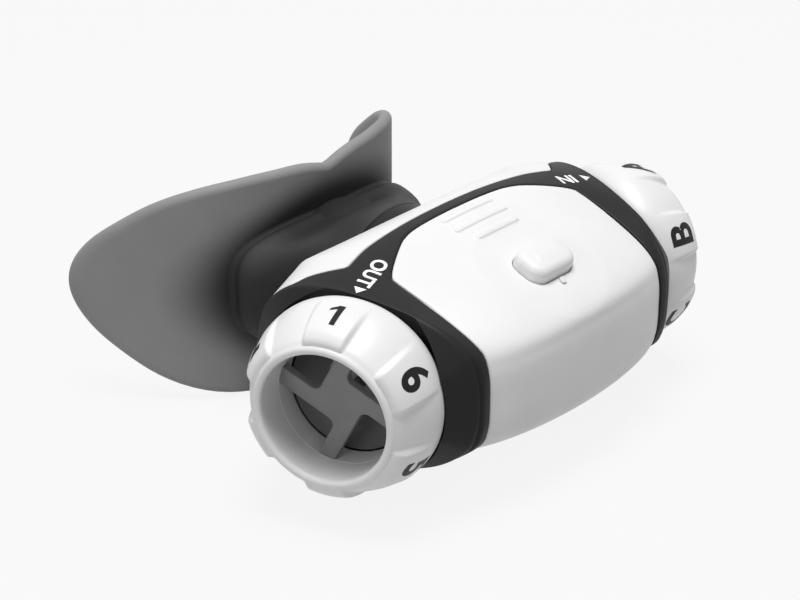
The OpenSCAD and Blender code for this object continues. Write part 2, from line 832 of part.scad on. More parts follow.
// Plate behind the spider: two raised quarters shut the air's way, the two between let it through
module aperture_plate(side) {
    color([0.36, 0.36, 0.37]) placed() at_dial(side) {
        translate([0, 0, -journal_end - plate_t]) difference() {
            cylinder(r = duct_r + plate_gap - run_gap, h = plate_t);
            for (a = [0, 180]) rotate(a + 45 - spider_turn)
                translate([window_pitch_r, 0, -eps]) cylinder(r = window_r, h = plate_t + 2 * eps);
        }
        translate([0, 0, -journal_end - eps])
            linear_extrude(spider_z - plate_gap + journal_end + eps) intersection() {
                circle(r = duct_r);
                union() {
                    circle(r = hub_r);
                    for (a = [90, 270]) rotate(a - spider_turn) square(duct_r);
                }
            }
    }
}

module out_aperture_plate() {
    aperture_plate(-1);
}

module in_aperture_plate() {
    aperture_plate(1);
}

// Seat of a one-way valve: holes round a pin that holds the membrane
module valve_seat(side) {
    color([0.3, 0.3, 0.31]) placed() at_dial(side) translate([0, 0, seat_z - seat_t]) {
        difference() {
            cylinder(r = seat_rim() - run_gap, h = seat_t);
            for (i = [0 : settings - 1]) rotate(i * 360 / settings)
                translate([seat_pitch_r, 0, -eps]) cylinder(r = seat_hole_r, h = seat_t + 2 * eps);
        }
        rotate([side < 0 ? 0 : 180, 0, 0]) translate([0, 0, side < 0 ? seat_t - eps : -eps])
            cylinder(r = pin_r, h = membrane_space() - plate_gap / 2);
    }
}

module out_valve_seat() {
    valve_seat(-1);
}

module in_valve_seat() {
    valve_seat(1);
}

// Silicone disc that lets the air through one way
module valve_membrane(side) {
    lift_side = side < 0 ? seat_z + run_gap : seat_z - seat_t - run_gap - membrane_t;
    color([0.85, 0.86, 0.86]) placed() at_dial(side) translate([0, 0, lift_side]) difference() {
        cylinder(r = membrane_r, h = membrane_t);
        translate([0, 0, -eps]) cylinder(r = pin_r + run_gap, h = membrane_t + 2 * eps);
    }
}

module out_valve_membrane() {
    valve_membrane(-1);
}

module in_valve_membrane() {
    valve_membrane(1);
}

// Ring that seals the dial on its journal
module dial_seal(side) {
    color([0.12, 0.12, 0.12]) placed() at_dial(side) translate([0, 0, ring_z])
        rotate_extrude() intersection() {
            translate([journal_r, 0]) circle(ring_r - run_gap / 2);
            translate([0, -ring_r]) square([journal_r, 2 * ring_r]);
        }
}

module out_dial_seal() {
    dial_seal(-1);
}

module in_dial_seal() {
    dial_seal(1);
}

// Split ring that keeps the dial on its journal
module snap_ring(side) {
    color([0.68, 0.68, 0.7]) placed() at_dial(side) translate([0, 0, clip_z]) difference() {
        rod(journal_r + clip_out, 0, clip_t);
        rod(journal_r - clip_in + run_gap, -eps, clip_t + eps);
        translate([journal_r, 0, clip_t / 2]) cube([4 * clip_in, 3 * clip_t, 2 * clip_t], center = true);
    }
}

module out_snap_ring() {
    snap_ring(-1);
}

module in_snap_ring() {
    snap_ring(1);
}

// Leaf that clicks into the notches of the dial's sleeve
module click_spring(side) {
    color([0.7, 0.7, 0.72]) placed() at_dial(side) rotate(spring_angle(side))
        translate([spring_base(), 0, spring_low()]) {
            translate([0, -spring_reach * 2, 0]) cube([spring_t, spring_reach * 4, spring_w]);
            intersection() {
                cylinder(r = spring_nose_r, h = spring_w);
                translate([-spring_nose_r, -spring_nose_r, 0])
                    cube([spring_nose_r + spring_t / 2, 2 * spring_nose_r, spring_w]);
            }
        }
}

module out_click_spring() {
    click_spring(-1);
}

module in_click_spring() {
    click_spring(1);
}

// Distance of the flange from the dial line: flat in the middle, curling in at the tips
function flange_at(x) =
    let (u = x / flange_half_w, depth = flange_tip_y - flange_y)
    flange_y + depth * (flange_bow_share * pow(u, 2) + (1 - flange_bow_share) * pow(u, 4));

// Half height of the flange, looked up along its outline
function outline_h(u, i = 0) =
    u <= outline_shares[i + 1].x || i + 2 == len(outline_shares)
        ? flange_half_h * mix(outline_shares[i].y, outline_shares[i + 1].y,
            min(1, (u - outline_shares[i].x) / (outline_shares[i + 1].x - outline_shares[i].x)))
        : outline_h(u, i + 1);

// Columns of the flange stand closer together towards the tips
function column_x(i) = flange_half_w * sin(90 * (2 * i / flange_cols - 1));

function flange_row(x, j) =
    let (h = outline_h(abs(x) / flange_half_w), v = 2 * j / flange_rows - 1)
    h * sin(90 * v);

module flange_solid() {
    xs = [for (i = [0 : flange_cols]) column_x(i) * (1 - eps / 4)];
    rows = flange_rows + 1;
    outer = [for (x = xs, j = [0 : flange_rows]) [x, flange_at(x), flange_row(x, j)]];
    inner = [for (x = xs, j = [0 : flange_rows])
        let (slope = (flange_at(x + eps) - flange_at(x - eps)) / (2 * eps), l = norm([1, slope]))
        [x - flange_t * slope / l, flange_at(x) + flange_t / l, flange_row(x, j)]];
    total = len(outer);
    faces_out = [for (i = [0 : flange_cols - 1], j = [0 : flange_rows - 1])
        let (a = i * rows + j) each [[a, a + 1, a + rows], [a + 1, a + rows + 1, a + rows]]];
    faces_in = [for (f = faces_out) [f[2] + total, f[1] + total, f[0] + total]];
    rim = concat(
        [for (i = [0 : flange_cols - 1]) [i * rows, (i + 1) * rows]],
        [for (j = [0 : flange_rows - 1]) [flange_cols * rows + j, flange_cols * rows + j + 1]],
        [for (i = [flange_cols : -1 : 1]) [i * rows + flange_rows, (i - 1) * rows + flange_rows]],
        [for (j = [flange_rows : -1 : 1]) [j, j - 1]]);
    faces_rim = [for (e = rim) each [[e[0], e[1], e[0] + total], [e[1], e[1] + total, e[0] + total]]];
    polyhedron(concat(outer, inner), concat(faces_out, faces_in, faces_rim));
}

// One ring of the neck, from a circle at its root to an oval at the flange
function neck_ring(t, grow) =
    [for (i = [0 : neck_steps - 1])
        let (a = 360 * i / neck_steps,
            w = mix(neck_root_r, neck_half_w, t) + grow,
            h = mix(neck_root_r, neck_half_h, t) + grow)
        [w * cos(a), 0, h * sin(a)]];

module neck() {
    reach = flange_y + flange_t / 2 - neck_root_y;
    skin([for (q = neck_ring_shares)
        [for (p = neck_ring(q.y, q.x == 1 ? rim_lip : 0)) [p.x, neck_root_y + reach * q.x, p.z]]]);
}

// Silicone mouthpiece: neck, lip flange and two bite tabs
module mouthpiece() {
    color([0.22, 0.22, 0.23]) placed() difference() {
        union() {
            flange_solid();
            neck();
            for (x = [-1, 1]) translate([x * bite_x, flange_at(bite_x) + flange_t / 2, 0]) bite_tab();
        }
        rod_y(0, 0, spigot_r + soft_gap, 0, spigot_end + soft_gap);
        translate([0, flange_y + overrun, 0]) rotate([90, 0, 0])
            slab(2 * airway_half_w, 2 * airway_half_h, 3 * overrun, airway_round);
    }
}

// Tab that the teeth hold: a web and a crosswise end
module bite_tab() {
    translate([-bite_web / 2, 0, -bite_t / 2]) cube([bite_web, bite_len, bite_t]);
    translate([-bite_web / 2, bite_len - bite_web, -bite_w / 2]) cube([bite_web, bite_web, bite_w]);
}

module screw(x, z, y, length) {
    translate([x, y, z]) rotate([-90, 0, 0]) difference() {
        union() {
            rod(pilot_r, 0, length);
            translate([0, 0, -screw_head_t]) cylinder(r = screw_head_r, h = screw_head_t);
        }
        translate([0, 0, -screw_head_t])
            cube([2 * screw_head_r + eps, slot_w, screw_head_t], center = true);
    }
}

// Four screws through the frame's tabs into the rear shell
module frame_screws() {
    color([0.6, 0.6, 0.62]) placed() for (x = [-1, 1], z = [-1, 1])
        screw(x * tab_x, z * tab_z, tab_y, tab_t + screw_len - plate_gap);
}

// Four screws through the carrier into the front shell
module carrier_screws() {
    color([0.6, 0.6, 0.62]) placed() mirror([0, 1, 0]) for (x = [-1, 1], z = [-1, 1])
        screw(x * boss_x, z * boss_z, plate_y - carrier_t, carrier_t + boss_front - plate_gap);
}

frame();
rear_shell();
front_shell();
airway_body();
carrier_plate();
circuit_board();
battery();
pressure_sensor();
sensor_seal();
charging_socket();
button_switch();
power_button();
status_light();
out_dial();
in_dial();
out_aperture_plate();
in_aperture_plate();
out_valve_seat();
in_valve_seat();
out_valve_membrane();
in_valve_membrane();
out_dial_seal();
in_dial_seal();
out_snap_ring();
in_snap_ring();
out_click_spring();
in_click_spring();
mouthpiece();
frame_screws();
carrier_screws();
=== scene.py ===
"""Looks of the hand-held breathing trainer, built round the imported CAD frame.

Lengths are in millimetres from the dial line (X along the dials, +Y to the user, +Z up) until a mesh is
handed to Blender, which gets metres in the row frame.
"""

from __future__ import annotations

import json
import logging
import math
from dataclasses import dataclass, field
from enum import Enum
from typing import Callable, Optional, Union

import bmesh
import bpy
import numpy as np
from mathutils import Matrix, Vector
from mathutils.bvhtree import BVHTree

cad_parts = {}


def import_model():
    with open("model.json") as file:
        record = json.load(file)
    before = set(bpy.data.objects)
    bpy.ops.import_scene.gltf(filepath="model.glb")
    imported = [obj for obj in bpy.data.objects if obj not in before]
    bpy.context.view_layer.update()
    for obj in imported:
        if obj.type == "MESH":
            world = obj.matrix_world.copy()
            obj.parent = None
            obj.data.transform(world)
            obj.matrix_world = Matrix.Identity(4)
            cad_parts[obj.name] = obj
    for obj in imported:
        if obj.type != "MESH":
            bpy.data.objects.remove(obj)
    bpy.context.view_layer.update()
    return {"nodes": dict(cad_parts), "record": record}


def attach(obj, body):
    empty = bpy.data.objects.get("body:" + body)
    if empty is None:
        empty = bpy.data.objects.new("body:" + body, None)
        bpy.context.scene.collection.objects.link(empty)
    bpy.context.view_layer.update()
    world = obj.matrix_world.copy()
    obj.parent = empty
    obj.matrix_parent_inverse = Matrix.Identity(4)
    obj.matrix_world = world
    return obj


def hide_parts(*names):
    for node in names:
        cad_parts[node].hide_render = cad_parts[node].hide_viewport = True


LOG = logging.getLogger("breathing_trainer")
MM = 0.001
CENTRE_Y = 19.6695
FAR = 9.0

Array = np.ndarray
Field = Callable[[Array], Array]
Faces = list[list[int]]


class Body(str, Enum):
    """Names of the moving bodies that pieces ride on."""

    ROOT = "body"
    UNIT = "electronics_unit"
    BUTTON = "power_button"
    OUT_DIAL = "out_dial"
    IN_DIAL = "in_dial"
    MOUTHPIECE = "mouthpiece"


class Slot(str, Enum):
    """Names of the record's material slots."""

    WHITE = "white_plastic"
    BLACK = "black_plastic"
    GREY = "grey_plastic"
    SILICONE = "silicone"
    CLEAR = "clear_silicone"
    STEEL = "steel"
    BOARD = "board"
    CELL = "cell"
    LENS = "lens"


def to_row(points: Array) -> Array:
    """Turn millimetres from the dial line into metres in the row frame."""
    return (np.asarray(points, float) - np.array([0.0, CENTRE_Y, 0.0])) * MM


def unit(v: Array) -> Array:
    """Return the vectors at length one."""
    return v / np.maximum(np.linalg.norm(v, axis=-1, keepdims=True), 1e-12)


def smoothstep(low: float, high: float, x: Array) -> Array:
    """Return a soft step from 0 at low to 1 at high."""
    t = np.clip((x - low) / (high - low), 0.0, 1.0)
    return t * t * (3.0 - 2.0 * t)


def curve(points: Array, t: Array, closed: bool = False) -> Array:
    """Follow a smooth curve through control points.

    Args:
        points: the control points, one per row.
        t: positions along the curve, counted in control points.
        closed: whether the last point joins the first.

    Returns:
        The curve's points, one per value of t.
    """
    count = len(points)
    index = np.floor(t).astype(int)
    if not closed:
        index = np.clip(index, 0, count - 2)
    f = (t - index)[:, None]

    def pick(step: int) -> Array:
        """Take the control point a few steps on."""
        where = index + step
        return points[where % count] if closed else points[np.clip(where, 0, count - 1)]

    a, b, c, d = pick(-1), pick(0), pick(1), pick(2)
    return 0.5 * (2 * b + (c - a) * f + (2 * a - 5 * b + 4 * c - d) * f**2 + (3 * b - a - 3 * c + d) * f**3)


def line_through(points: Array, steps: int) -> Array:
    """Sample a smooth open curve through control points."""
    return curve(points, np.linspace(0, len(points) - 1, (len(points) - 1) * steps + 1))


def distance_to_line(points: Array, line: Array) -> Array:
    """Return each 2-D point's distance to a line of short straight pieces."""
    a, b = line[:-1], line[1:]
    best = np.full(len(points), np.inf)
    for start, end in zip(a, b):
        along = end - start
        t = np.clip(((points - start) @ along) / max(along @ along, 1e-12), 0, 1)
        best = np.minimum(best, np.linalg.norm(points - start - t[:, None] * along, axis=1))
    return best


def rounded_box(x: Array, y: Array, half_x: float, half_y: float, corner: float) -> Array:
    """Return the signed distance to a box with round corners, negative inside."""
    qx, qy = np.abs(x) - (half_x - corner), np.abs(y) - (half_y - corner)
    outside = np.hypot(np.maximum(qx, 0), np.maximum(qy, 0))
    return outside + np.minimum(np.maximum(qx, qy), 0) - corner


def round_over(depth: Array, radius: float) -> Array:
    """Return how far a rounded edge sinks, for distances in from that edge."""
    reach = np.clip(radius - depth, 0, radius)
    return radius - np.sqrt(np.maximum(radius**2 - reach**2, 0))


class Value:
    """A shader socket that takes part in arithmetic."""

    def __init__(self, finish: "Shader", socket: bpy.types.NodeSocket) -> None:
        """Wrap a socket of a finish."""
        self.finish = finish
        self.socket = socket

    def _maths(self, operation: str, first: "Number", second: "Number") -> "Value":
        """Add one Math node and return its result."""
        return self.finish.node("ShaderNodeMath", {"operation": operation}, {0: first, 1: second})

    def __add__(self, other: "Number") -> "Value":
        """Add."""
        return self._maths("ADD", self, other)

    __radd__ = __add__

    def __mul__(self, other: "Number") -> "Value":
        """Multiply."""
        return self._maths("MULTIPLY", self, other)

    __rmul__ = __mul__


Number = Union[Value, float]
Colour = tuple[float, float, float]


class Shader:
    """A material with a Principled shader, built node by node."""

    def __init__(self, name: str) -> None:
        """Start an empty material."""
        self.material = bpy.data.materials.new(name)
        self.material.use_nodes = True
        self.tree = self.material.node_tree
        self.tree.nodes.clear()
        self.output = self.tree.nodes.new("ShaderNodeOutputMaterial")
        self.base = self.tree.nodes.new("ShaderNodeBsdfPrincipled")
        self.tree.links.new(self.base.outputs[0], self.output.inputs["Surface"])

    def node(self, kind: str, settings: dict, inputs: dict, result: Union[int, str] = 0) -> Value:
        """Add a node.

        Args:
            kind: the node's type.
            settings: its settings, which are set before its sockets; "stops" fills a colour ramp.
            inputs: values or links by socket name or number.
            result: which output to return.

        Returns:
            The chosen output, ready for arithmetic.
        """
        made = self.tree.nodes.new(kind)
        for name, value in settings.items():
            if name == "stops":
                self._fill_ramp(made.color_ramp, value)
            else:
                setattr(made, name, value)
        for name, value in inputs.items():
            self.connect(made.inputs[name], value)
        return Value(self, made.outputs[result])

    @staticmethod
    def _fill_ramp(ramp: bpy.types.ColorRamp, stops: list[tuple[float, float]]) -> None:
        """Give a ramp its grey stops."""
        while len(ramp.elements) < len(stops):
            ramp.elements.new(0.5)
        for element, (place, grey) in zip(ramp.elements, stops):
            element.position = place
            element.color = (grey, grey, grey, 1.0)

    def connect(self, socket: bpy.types.NodeSocket, value: Union[Number, tuple]) -> None:
        """Link a socket, or set its constant."""
        if isinstance(value, Value):
            self.tree.links.new(value.socket, socket)
        elif isinstance(value, tuple) and len(value) == 3 and socket.type == "RGBA":
            socket.default_value = (*value, 1.0)
        else:
            socket.default_value = value

    def set(self, **sockets: Union[Number, tuple]) -> None:
        """Set the Principled shader's sockets; underscores stand for spaces."""
        for name, value in sockets.items():
            self.connect(self.base.inputs[name.replace("_", " ").title().replace("Ior", "IOR")], value)

    def place(self) -> Value:
        """Return the coordinates of the object's own space."""
        return self.node("ShaderNodeTexCoord", {}, {}, "Object")

    def noise(self, per_metre: float, detail: float = 2.0, rough: float = 0.5) -> Value:
        """Return a noise of so many features a metre."""
        inputs = {"Vector": self.place(), "Scale": per_metre, "Detail": detail, "Roughness": rough}
        return self.node("ShaderNodeTexNoise", {}, inputs, 0)

    def ramp(self, value: Value, *stops: tuple[float, float]) -> Value:
        """Return a value remapped by grey stops."""
        return self.node("ShaderNodeValToRGB", {"stops": list(stops)}, {"Fac": value}, 0)

    def falloff(self, low: float, high: float) -> Value:
        """Return a painted shade's mask: 0 to 1 as the flattened distance from the Y axis goes from low to high,
        in metres.
        """
        squash = (1.0, 0.0, 1.6)
        flat = self.node("ShaderNodeVectorMath", {"operation": "MULTIPLY"}, {0: self.place(), 1: squash}, 0)
        far = self.node("ShaderNodeVectorMath", {"operation": "LENGTH"}, {0: flat}, "Value")
        inputs = {"Value": far, "From Min": low, "From Max": high}
        return self.node("ShaderNodeMapRange", {"interpolation_type": "SMOOTHSTEP"}, inputs, 0)

    def blend(self, share: Number, first: Union[Value, Colour], second: Union[Value, Colour]) -> Value:
        """Return a mix of two colours."""
        settings = {"data_type": "RGBA"}
        return self.node("ShaderNodeMix", settings, {0: share, 6: first, 7: second}, 2)

    def bump(self, height: Value, depth_mm: float, strength: float = 1.0) -> None:
        """Drive the normal from a height."""
        inputs = {"Height": height, "Distance": depth_mm * MM, "Strength": strength}
        self.connect(self.base.inputs["Normal"], self.node("ShaderNodeBump", {}, inputs, 0))


@dataclass(frozen=True)
class Moulding:
    """A moulded plastic or rubber: colour, gloss and grain, with a painted shade that darkens it near its middle
    where one is given.
    """

    name: str
    colour: Colour
    worn: Colour
    roughness: float
    grain_per_mm: float = 5.0
    grain_mm: float = 0.01
    coat: float = 0.0
    specular: float = 0.5
    flow_per_mm: float = 0.09
    # painted shade: its dark colour, then the flattened distances in metres over which the darkening fades out
    painted_shade: Optional[tuple[Colour, float, float]] = None

    def make(self) -> bpy.types.Material:
        """Build the material."""
        shader = Shader(self.name)
        flow = shader.noise(self.flow_per_mm / MM, 3.0)
        cloud = shader.ramp(flow, (0.35, 0.0), (0.68, 1.0))
        tone = shader.blend(cloud, self.colour, self.worn)
        if self.painted_shade:
            # painted shade: the base colour goes dark near the object's Y axis, where the neck's crease lies in
            # shade
            dark, low, high = self.painted_shade
            tone = shader.blend(shader.falloff(low, high), dark, tone)
        fine = shader.noise(self.grain_per_mm / MM, 3.0, 0.6)
        shader.set(base_color=tone, roughness=flow * 0.08 + fine * 0.05 + (self.roughness - 0.065))
        shader.set(specular_ior_level=self.specular, coat_weight=self.coat, coat_roughness=0.2)
        shader.bump(fine, self.grain_mm, 0.5)
        return shader.material


@dataclass(frozen=True)
class Metal:
    """A bright metal with fine brushing along one axis."""

    name: str
    colour: Colour
    roughness: float

    def make(self) -> bpy.types.Material:
        """Build the material."""
        shader = Shader(self.name)
        stretch = shader.node("ShaderNodeMapping", {}, {"Vector": shader.place(), "Scale": (1.0, 9.0, 9.0)})
        brushing = shader.node("ShaderNodeTexNoise", {}, {"Vector": stretch, "Scale": 2500.0, "Detail": 3.0})
        shader.set(base_color=self.colour, metallic=1.0, roughness=brushing * 0.2 + (self.roughness - 0.1))
        shader.bump(brushing, 0.004, 0.4)
        return shader.material


@dataclass(frozen=True)
class Board:
    """Solder resist over copper tracks."""

    name: str
    resist: Colour
    track: Colour

    def make(self) -> bpy.types.Material:
        """Build the material."""
        shader = Shader(self.name)
        cells = shader.node(
            "ShaderNodeTexBrick",
            {"offset": 0.5},
            {"Vector": shader.place(), "Scale": 420.0, "Mortar Size": 0.08, "Color1": (0.0, 0.0, 0.0)},
            "Fac",
        )
        shader.set(base_color=shader.blend(cells, self.resist, self.track), roughness=cells * 0.1 + 0.35)
        shader.bump(cells, 0.03, 0.6)
        return shader.material


@dataclass(frozen=True)
class Print:
    """Printed ink with a slight unevenness."""

    name: str
    colour: Colour

    def make(self) -> bpy.types.Material:
        """Build the material."""
        shader = Shader(self.name)
        speckle = shader.noise(3000.0, 2.0)
        lighter = tuple(min(1.0, c * 1.2 + 0.004) for c in self.colour)
        tone = shader.blend(speckle, self.colour, lighter)
        shader.set(base_color=tone, roughness=speckle * 0.1 + 0.4, specular_ior_level=0.12)
        return shader.material


def grey_of(level: float) -> Colour:
    """Return a neutral grey."""
    return level, level, level


class Paintbox:
    """Every finish of the trainer."""

    def __init__(self) -> None:
        """Make the materials once."""
        white = Moulding("satin_white", grey_of(0.8), grey_of(0.77), 0.42, specular=0.4)
        dial = Moulding("dial_white", grey_of(0.8), grey_of(0.77), 0.36, specular=0.45)
        black = Moulding("satin_black", (0.006, 0.006, 0.0063), (0.009, 0.009, 0.0093), 0.5, specular=0.2)
        grey = Moulding("inner_grey", grey_of(0.13), grey_of(0.15), 0.5)
        spider = Moulding("spider_grey", grey_of(0.2), grey_of(0.22), 0.5)
        # painted shade: the silicone's colour darkens towards the neck and its crease
        painted_neck_shade = ((0.012, 0.012, 0.0124), 0.019, 0.0285)
        soft = {"specular": 0.25, "painted_shade": painted_neck_shade}
        rubber = Moulding("soft_silicone", grey_of(0.26), grey_of(0.28), 0.62, 2.2, 0.02, **soft)
        milky = Moulding("milky_silicone", (0.55, 0.56, 0.57), (0.5, 0.51, 0.52), 0.45, 2.2, 0.02)
        lens = Moulding("light_lens", (0.7, 0.7, 0.71), (0.75, 0.75, 0.76), 0.25, coat=0.5)
        self.white, self.dial, self.black = white.make(), dial.make(), black.make()
        self.grey, self.spider, self.rubber = grey.make(), spider.make(), rubber.make()
        self.milky, self.lens = milky.make(), lens.make()
        self.steel = Metal("bright_steel", (0.62, 0.62, 0.63), 0.28).make()
        self.foil = Metal("cell_foil", (0.66, 0.68, 0.7), 0.4).make()
        self.board = Board("circuit_board_resist", (0.02, 0.11, 0.05), (0.05, 0.2, 0.09)).make()
        self.ink, self.mark = Print("black_ink", grey_of(0.012)).make(), Print("white_ink", grey_of(0.85)).make()

    def for_slot(self, slot: Slot) -> bpy.types.Material:
        """Return the finish that a CAD node of this slot shows."""
        return {
            Slot.WHITE: self.white,
            Slot.BLACK: self.black,
            Slot.GREY: self.grey,
            Slot.SILICONE: self.rubber,
            Slot.CLEAR: self.milky,
            Slot.STEEL: self.steel,
            Slot.BOARD: self.board,
            Slot.CELL: self.foil,
            Slot.LENS: self.lens,
        }[slot]


def add_piece(
    name: str,
    points: Array,
    faces: Faces,
    finish: bpy.types.Material,
    sharp_degrees: float = 40.0,
    weld_mm: float = 0.002,
) -> bpy.types.Object:
    """Turn points and faces into a smooth-shaded object.

    Args:
        name: the object's name.
        points: millimetres from the dial line.
        faces: indices of each face's corners.
        finish: its material.
        sharp_degrees: edges that bend more than this stay crisp.
        weld_mm: points nearer than this become one.

    Returns:
        The new object, linked to the scene.
    """
    mesh = bpy.data.meshes.new(name)
    mesh.from_pydata(to_row(points).tolist(), [], faces)
    work = bmesh.new()
    work.from_mesh(mesh)
    bmesh.ops.remove_doubles(work, verts=work.verts, dist=weld_mm * MM)
    bmesh.ops.dissolve_degenerate(work, edges=work.edges, dist=weld_mm * MM * 0.5)
    bmesh.ops.recalc_face_normals(work, faces=work.faces)
    work.to_mesh(mesh)
    work.free()
    mesh.shade_smooth()
    mesh.set_sharp_from_angle(angle=math.radians(sharp_degrees))
    mesh.materials.append(finish)
    piece = bpy.data.objects.new(name, mesh)
    bpy.context.collection.objects.link(piece)
    return piece


def grid_faces(rows: int, columns: int, wrap: bool = False) -> Faces:
    """Return the four-cornered faces of a grid, row by row."""
    faces: Faces = []
    last = columns if wrap else columns - 1
    for row in range(rows - 1):
        for column in range(last):
            right = (column + 1) % columns
            low, high = row * columns, (row + 1) * columns
            faces.append([low + column, low + right, high + right, high + column])
    return faces


class Net:
    """A net of faces over a surface's two parameters, which can be cut along level lines."""

    def __init__(self, uv: Array, faces: Faces, place: Field) -> None:
        """Keep the parameters, the faces and the surface that places them."""
        self.uv, self.faces, self.place = uv, faces, place

    def points(self) -> Array:
        """Return the surface's points."""
        return self.place(self.uv)

    def cut(self, measure: Field, levels: list[float]) -> "Net":
        """Cut every face that a level line crosses, and keep both parts."""
        near = 1e-9
        for level in levels:
            values = (measure(self.points()) - level).tolist()
            uv = self.uv.tolist()
            made: dict[tuple[int, int], int] = {}
            faces: Faces = []
            for face in self.faces:
                corner_values = [values[i] for i in face]
                if min(corner_values) >= -near or max(corner_values) <= near:
                    faces.append(face)
                    continue
                low: list[int] = []
                high: list[int] = []
                for here, there in zip(face, face[1:] + face[:1]):
                    va, vb = values[here], values[there]
                    if va <= near:
                        low.append(here)
                    if va >= -near:
                        high.append(here)
                    if (va < -near and vb > near) or (va > near and vb < -near):
                        key = (min(here, there), max(here, there))
                        if key not in made:
                            t = va / (va - vb)
                            a, b = uv[here], uv[there]
                            uv.append([a[0] + t * (b[0] - a[0]), a[1] + t * (b[1] - a[1])])
                            values.append(0.0)
                            made[key] = len(uv) - 1
                        low.append(made[key])
                        high.append(made[key])
                faces += [part for part in (low, high) if len(part) > 2]
            self.uv, self.faces = np.array(uv), faces
        return self

    def keep(self, measure: Field) -> "Net":
        """Keep the faces where the measure is negative at their middle."""
        values = measure(self.points())
        kept = [face for face in self.faces if sum(values[i] for i in face) < 0]
        used = sorted({i for face in kept for i in face})
        new_index = {old: new for new, old in enumerate(used)}
        return Net(self.uv[used], [[new_index[i] for i in face] for face in kept], self.place)

    def normals(self) -> Array:
        """Return the outward normal at each point, from the surface's slopes."""
        step_u, step_v = np.array([4e-3, 0.0]), np.array([0.0, 1.5e-3])
        along_u = self.place(self.uv + step_u) - self.place(self.uv - step_u)
        along_v = self.place(self.uv + step_v) - self.place(self.uv - step_v)
        return unit(np.cross(along_v, along_u))

    def welded(self) -> "Net":
        """Join the points that lie on each other, such as those where the net closes."""
        keys = np.round(self.points(), 4)
        _, first, index = np.unique(keys, axis=0, return_index=True, return_inverse=True)
        index = index.ravel()
        faces = [[int(index[i]) for i in face] for face in self.faces]
        whole = [[a for a, b in zip(face, face[1:] + face[:1]) if a != b] for face in faces]
        return Net(self.uv[first], [face for face in whole if len(face) > 2], self.place)


def thicken(outer: Array, inner: Array, faces: Faces) -> tuple[Array, Faces]:
    """Close a trimmed skin with its inner side and its rims.

    Args:
        outer: the outer side's points.
        inner: the inner side's points, in the same order.
        faces: the outer side's faces.

    Returns:
        All points and all faces of the closed wall.
    """
    count = len(outer)
    seen: dict[tuple[int, int], int] = {}
    for face in faces:
        for a, b in zip(face, face[1:] + face[:1]):
            seen[(a, b)] = seen.get((a, b), 0) + 1
    rims = [[b, a, a + count, b + count] for (a, b) in seen if (b, a) not in seen]
    inside = [[i + count for i in reversed(face)] for face in faces]
    return np.vstack([outer, inner]), faces + inside + rims


